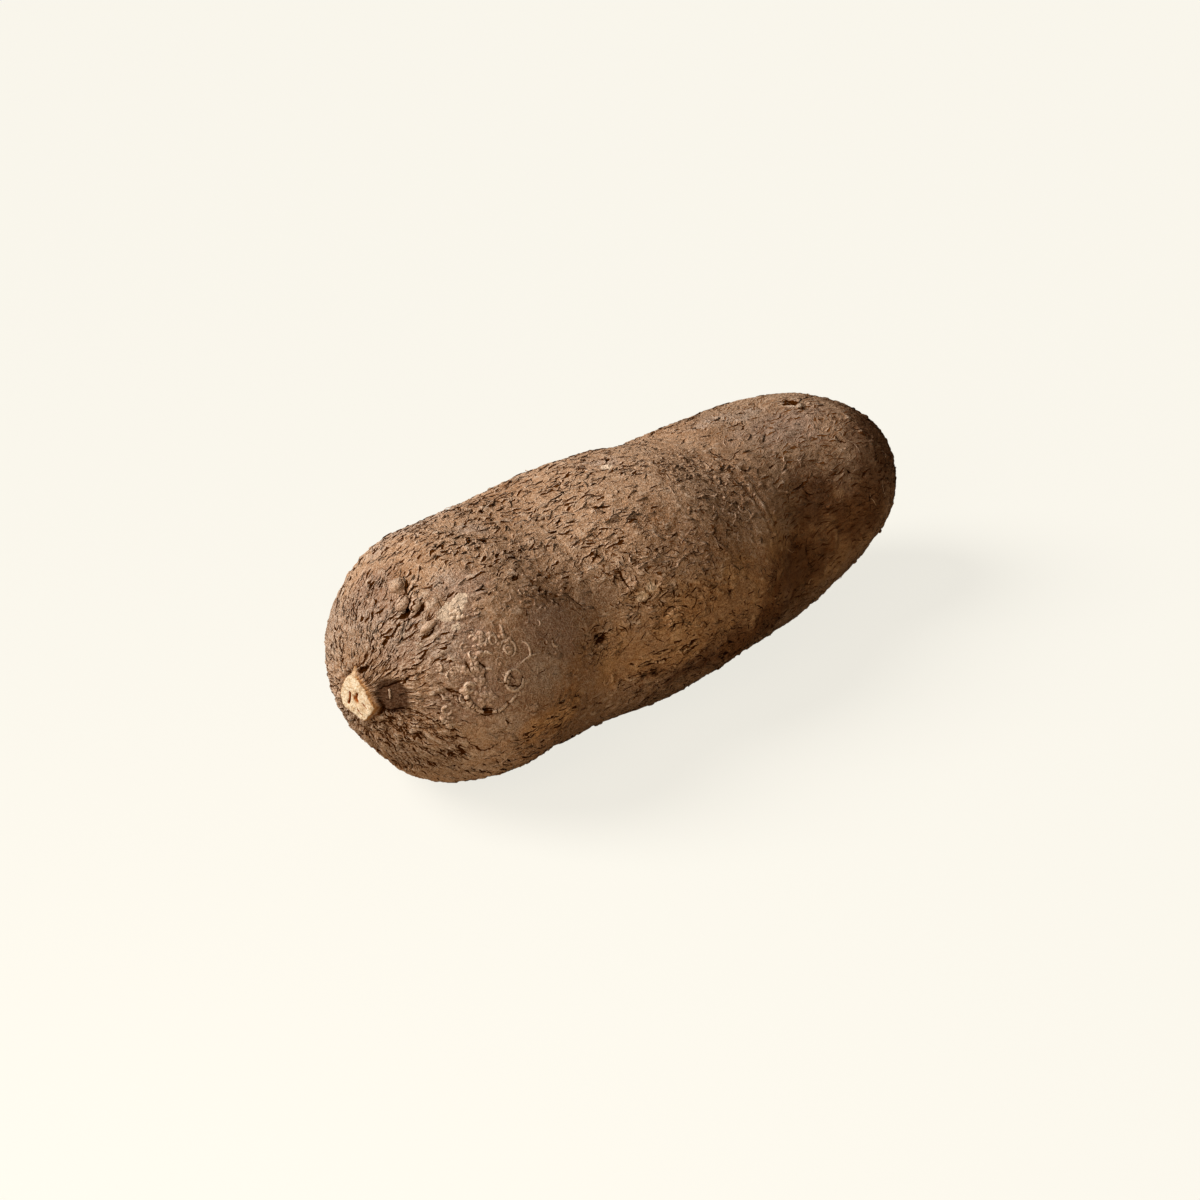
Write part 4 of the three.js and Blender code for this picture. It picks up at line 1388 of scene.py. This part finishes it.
curl_rng = np.random.default_rng(97)
curl_x = np.concatenate([curl_rng.uniform(16, 285, LOOSE_CURLS), curl_rng.uniform(11, 56, SWIRL_CURLS)])
loose_degrees = curl_rng.uniform(0, 360, LOOSE_CURLS)
curl_degrees = np.concatenate([loose_degrees, curl_rng.normal(163, 13, SWIRL_CURLS)])
curls = LOOSE_CURLS + SWIRL_CURLS
curl_radius = curl_rng.uniform(0.6, 1.9, (curls, 1))
curl_start = curl_rng.uniform(0, tau, (curls, 1))
curl_turn = curl_rng.uniform(0.25, 0.85, (curls, 1)) * tau
share = np.linspace(0, 1, CURL_STEPS)
opening_out = 1 + 0.5 * share * curl_rng.uniform(-0.6, 1.2, (curls, 1))
row, column = around(curl_x, curl_degrees, curl_radius * opening_out, curl_start + curl_turn * share)
thick = curl_rng.uniform(0.24, 0.48, (curls, 1)) * np.sqrt(1 - 0.92 * np.abs(2 * share - 1) ** 3)
# The last number paints the curls paler, as a highlight.
add_lines("cork_curls", row, column, thick, 0.50 * thick, 0.38)

ROOT_HAIRS = 80
hair_rng = np.random.default_rng(101)
hair_row = row_at(hair_rng.uniform(20, 280, ROOT_HAIRS))[:, None]
hair_column = (hair_rng.random(ROOT_HAIRS) * COLUMNS)[:, None]
hair_length = hair_rng.uniform(2.5, 8.0, ROOT_HAIRS)[:, None]
hair_heading = hair_rng.uniform(0, tau, ROOT_HAIRS)[:, None]
hair_bend = hair_rng.normal(0, 1.1, ROOT_HAIRS)[:, None]
hair_arch = hair_rng.uniform(0.2, 0.9, ROOT_HAIRS)[:, None]
heading = hair_heading + hair_bend * share
travel = hair_length * share
row = hair_row + travel * np.cos(heading) / BODY_ROW
column = hair_column + travel * np.sin(heading) / column_step(hair_row)
thick = 0.20 * (1 - 0.65 * share) + 0 * row
hair_height = hair_arch * np.sin(np.pi * share**0.8) - 0.15 + 0.3 * share
add_lines("root_hairs", row, column, thick, hair_height, 0.35)

# ==== Stage ==========================================================================================
# A plain pale floor, a sun beyond the stalk end and behind the tuber, and a soft lamp on the shaded side.
# The floor shows the camera an even pale colour, and keeps a soft part of the tuber's shadow.

FLOOR_SIZE = 12.0
FLOOR_COLOUR = (0.946, 0.921, 0.841, 1)
FLOOR_GLOW = 0.85  # the share of the floor's look that no shadow touches
BOUNCE_COLOUR = (0.46, 0.36, 0.24, 1)  # the duller floor that lights the underside
floor_mesh = bpy.data.meshes.new("floor")
half = FLOOR_SIZE / 2
floor_corners = [(-half, -half, 0), (half, -half, 0), (half, half, 0), (-half, half, 0)]
floor_mesh.from_pydata(floor_corners, [], [(0, 1, 2, 3)])
floor = bpy.data.objects.new("floor", floor_mesh)
bpy.context.scene.collection.objects.link(floor)

floor_paint = bpy.data.materials.new("floor_paint")
floor_paint.use_nodes = True
tree = floor_paint.node_tree
tree.nodes.remove(tree.nodes["Principled BSDF"])
blank = Field(tree, None)
path = tree.nodes.new("ShaderNodeLightPath")
seen = Field(tree, path.outputs["Is Camera Ray"]).most(Field(tree, path.outputs["Is Glossy Ray"]))
lit = blank.node("ShaderNodeBsdfDiffuse", {"Color": FLOOR_COLOUR}, "BSDF")
even = blank.node("ShaderNodeEmission", {"Color": FLOOR_COLOUR, "Strength": 1.0}, "Emission")
soft_shadow = blank.node("ShaderNodeMixShader", {0: FLOOR_GLOW, 1: lit, 2: even}, 0)
duller = blank.node("ShaderNodeBsdfDiffuse", {"Color": BOUNCE_COLOUR}, "BSDF")
finish = blank.node("ShaderNodeMixShader", {0: seen, 1: duller, 2: soft_shadow}, 0)
tree.links.new(finish.socket, tree.nodes["Material Output"].inputs["Surface"])
floor_mesh.materials.append(floor_paint)

SKY_COLOUR = (1.0, 0.83, 0.63, 1)
SKY_STRENGTH = 0.09
world = bpy.data.worlds.new("studio")
world.use_nodes = True
bpy.context.scene.world = world
sky = world.node_tree.nodes["Background"]
sky.inputs["Color"].default_value = SKY_COLOUR
sky.inputs["Strength"].default_value = SKY_STRENGTH


def add_light(name, kind, strength, colour, towards):
    """A light of a kind, turned to shine from the direction towards it."""
    data = bpy.data.lights.new(name, kind)
    data.energy = strength
    data.color = colour
    light = bpy.data.objects.new(name, data)
    light.rotation_euler = towards.to_track_quat("Z", "Y").to_euler()
    bpy.context.scene.collection.objects.link(light)
    return light


SUN_STRENGTH = 4.25
SUN_WIDTH = 0.6  # across, in radians: it softens the edges of shadows
SUN_COLOUR = (1.0, 0.985, 0.96)
SUN_TOWARDS = Vector((-0.58, 0.46, 0.68))
sun = add_light("key", "SUN", SUN_STRENGTH, SUN_COLOUR, SUN_TOWARDS)
sun.data.angle = SUN_WIDTH

# The lamp lights the shaded side less and less towards the growing end.
FILL_STRENGTH = 1.4
FILL_SIZE = 0.25
FILL_COLOUR = (1.0, 0.89, 0.73)
FILL_AIM = Vector((-0.15, 0, 0.05))  # the stalk end
FILL_TOWARDS = Vector((-0.40, -0.20, 0.32))
fill = add_light("fill", "AREA", FILL_STRENGTH, FILL_COLOUR, FILL_TOWARDS)
fill.data.size = FILL_SIZE
fill.location = FILL_AIM + FILL_TOWARDS

# The camera looks down on the stalk end from the side.
CAMERA_AZIMUTH = np.radians(-47)
CAMERA_ELEVATION = np.radians(27)
CAMERA_DISTANCE = 1.08465
CAMERA_TARGET = Vector((-0.0267, -0.00947, 0.047))
CAMERA_LENS = 85
CAMERA_SENSOR = 36
CAMERA_FARTHEST = 50
back = Vector(
    (
        np.sin(CAMERA_AZIMUTH) * np.cos(CAMERA_ELEVATION),
        -np.cos(CAMERA_AZIMUTH) * np.cos(CAMERA_ELEVATION),
        np.sin(CAMERA_ELEVATION),
    )
)
look_at = CAMERA_TARGET + Vector((place[0], place[1], 0))
camera_data = bpy.data.cameras.new("camera")
camera_data.lens = CAMERA_LENS
camera_data.sensor_width = CAMERA_SENSOR
camera_data.clip_end = CAMERA_FARTHEST
camera = bpy.data.objects.new("camera", camera_data)
camera.location = look_at + back * CAMERA_DISTANCE
camera.rotation_euler = back.to_track_quat("Z", "Y").to_euler()
bpy.context.scene.collection.objects.link(camera)
bpy.context.scene.camera = camera
bpy.context.scene.view_settings.view_transform = "Standard"
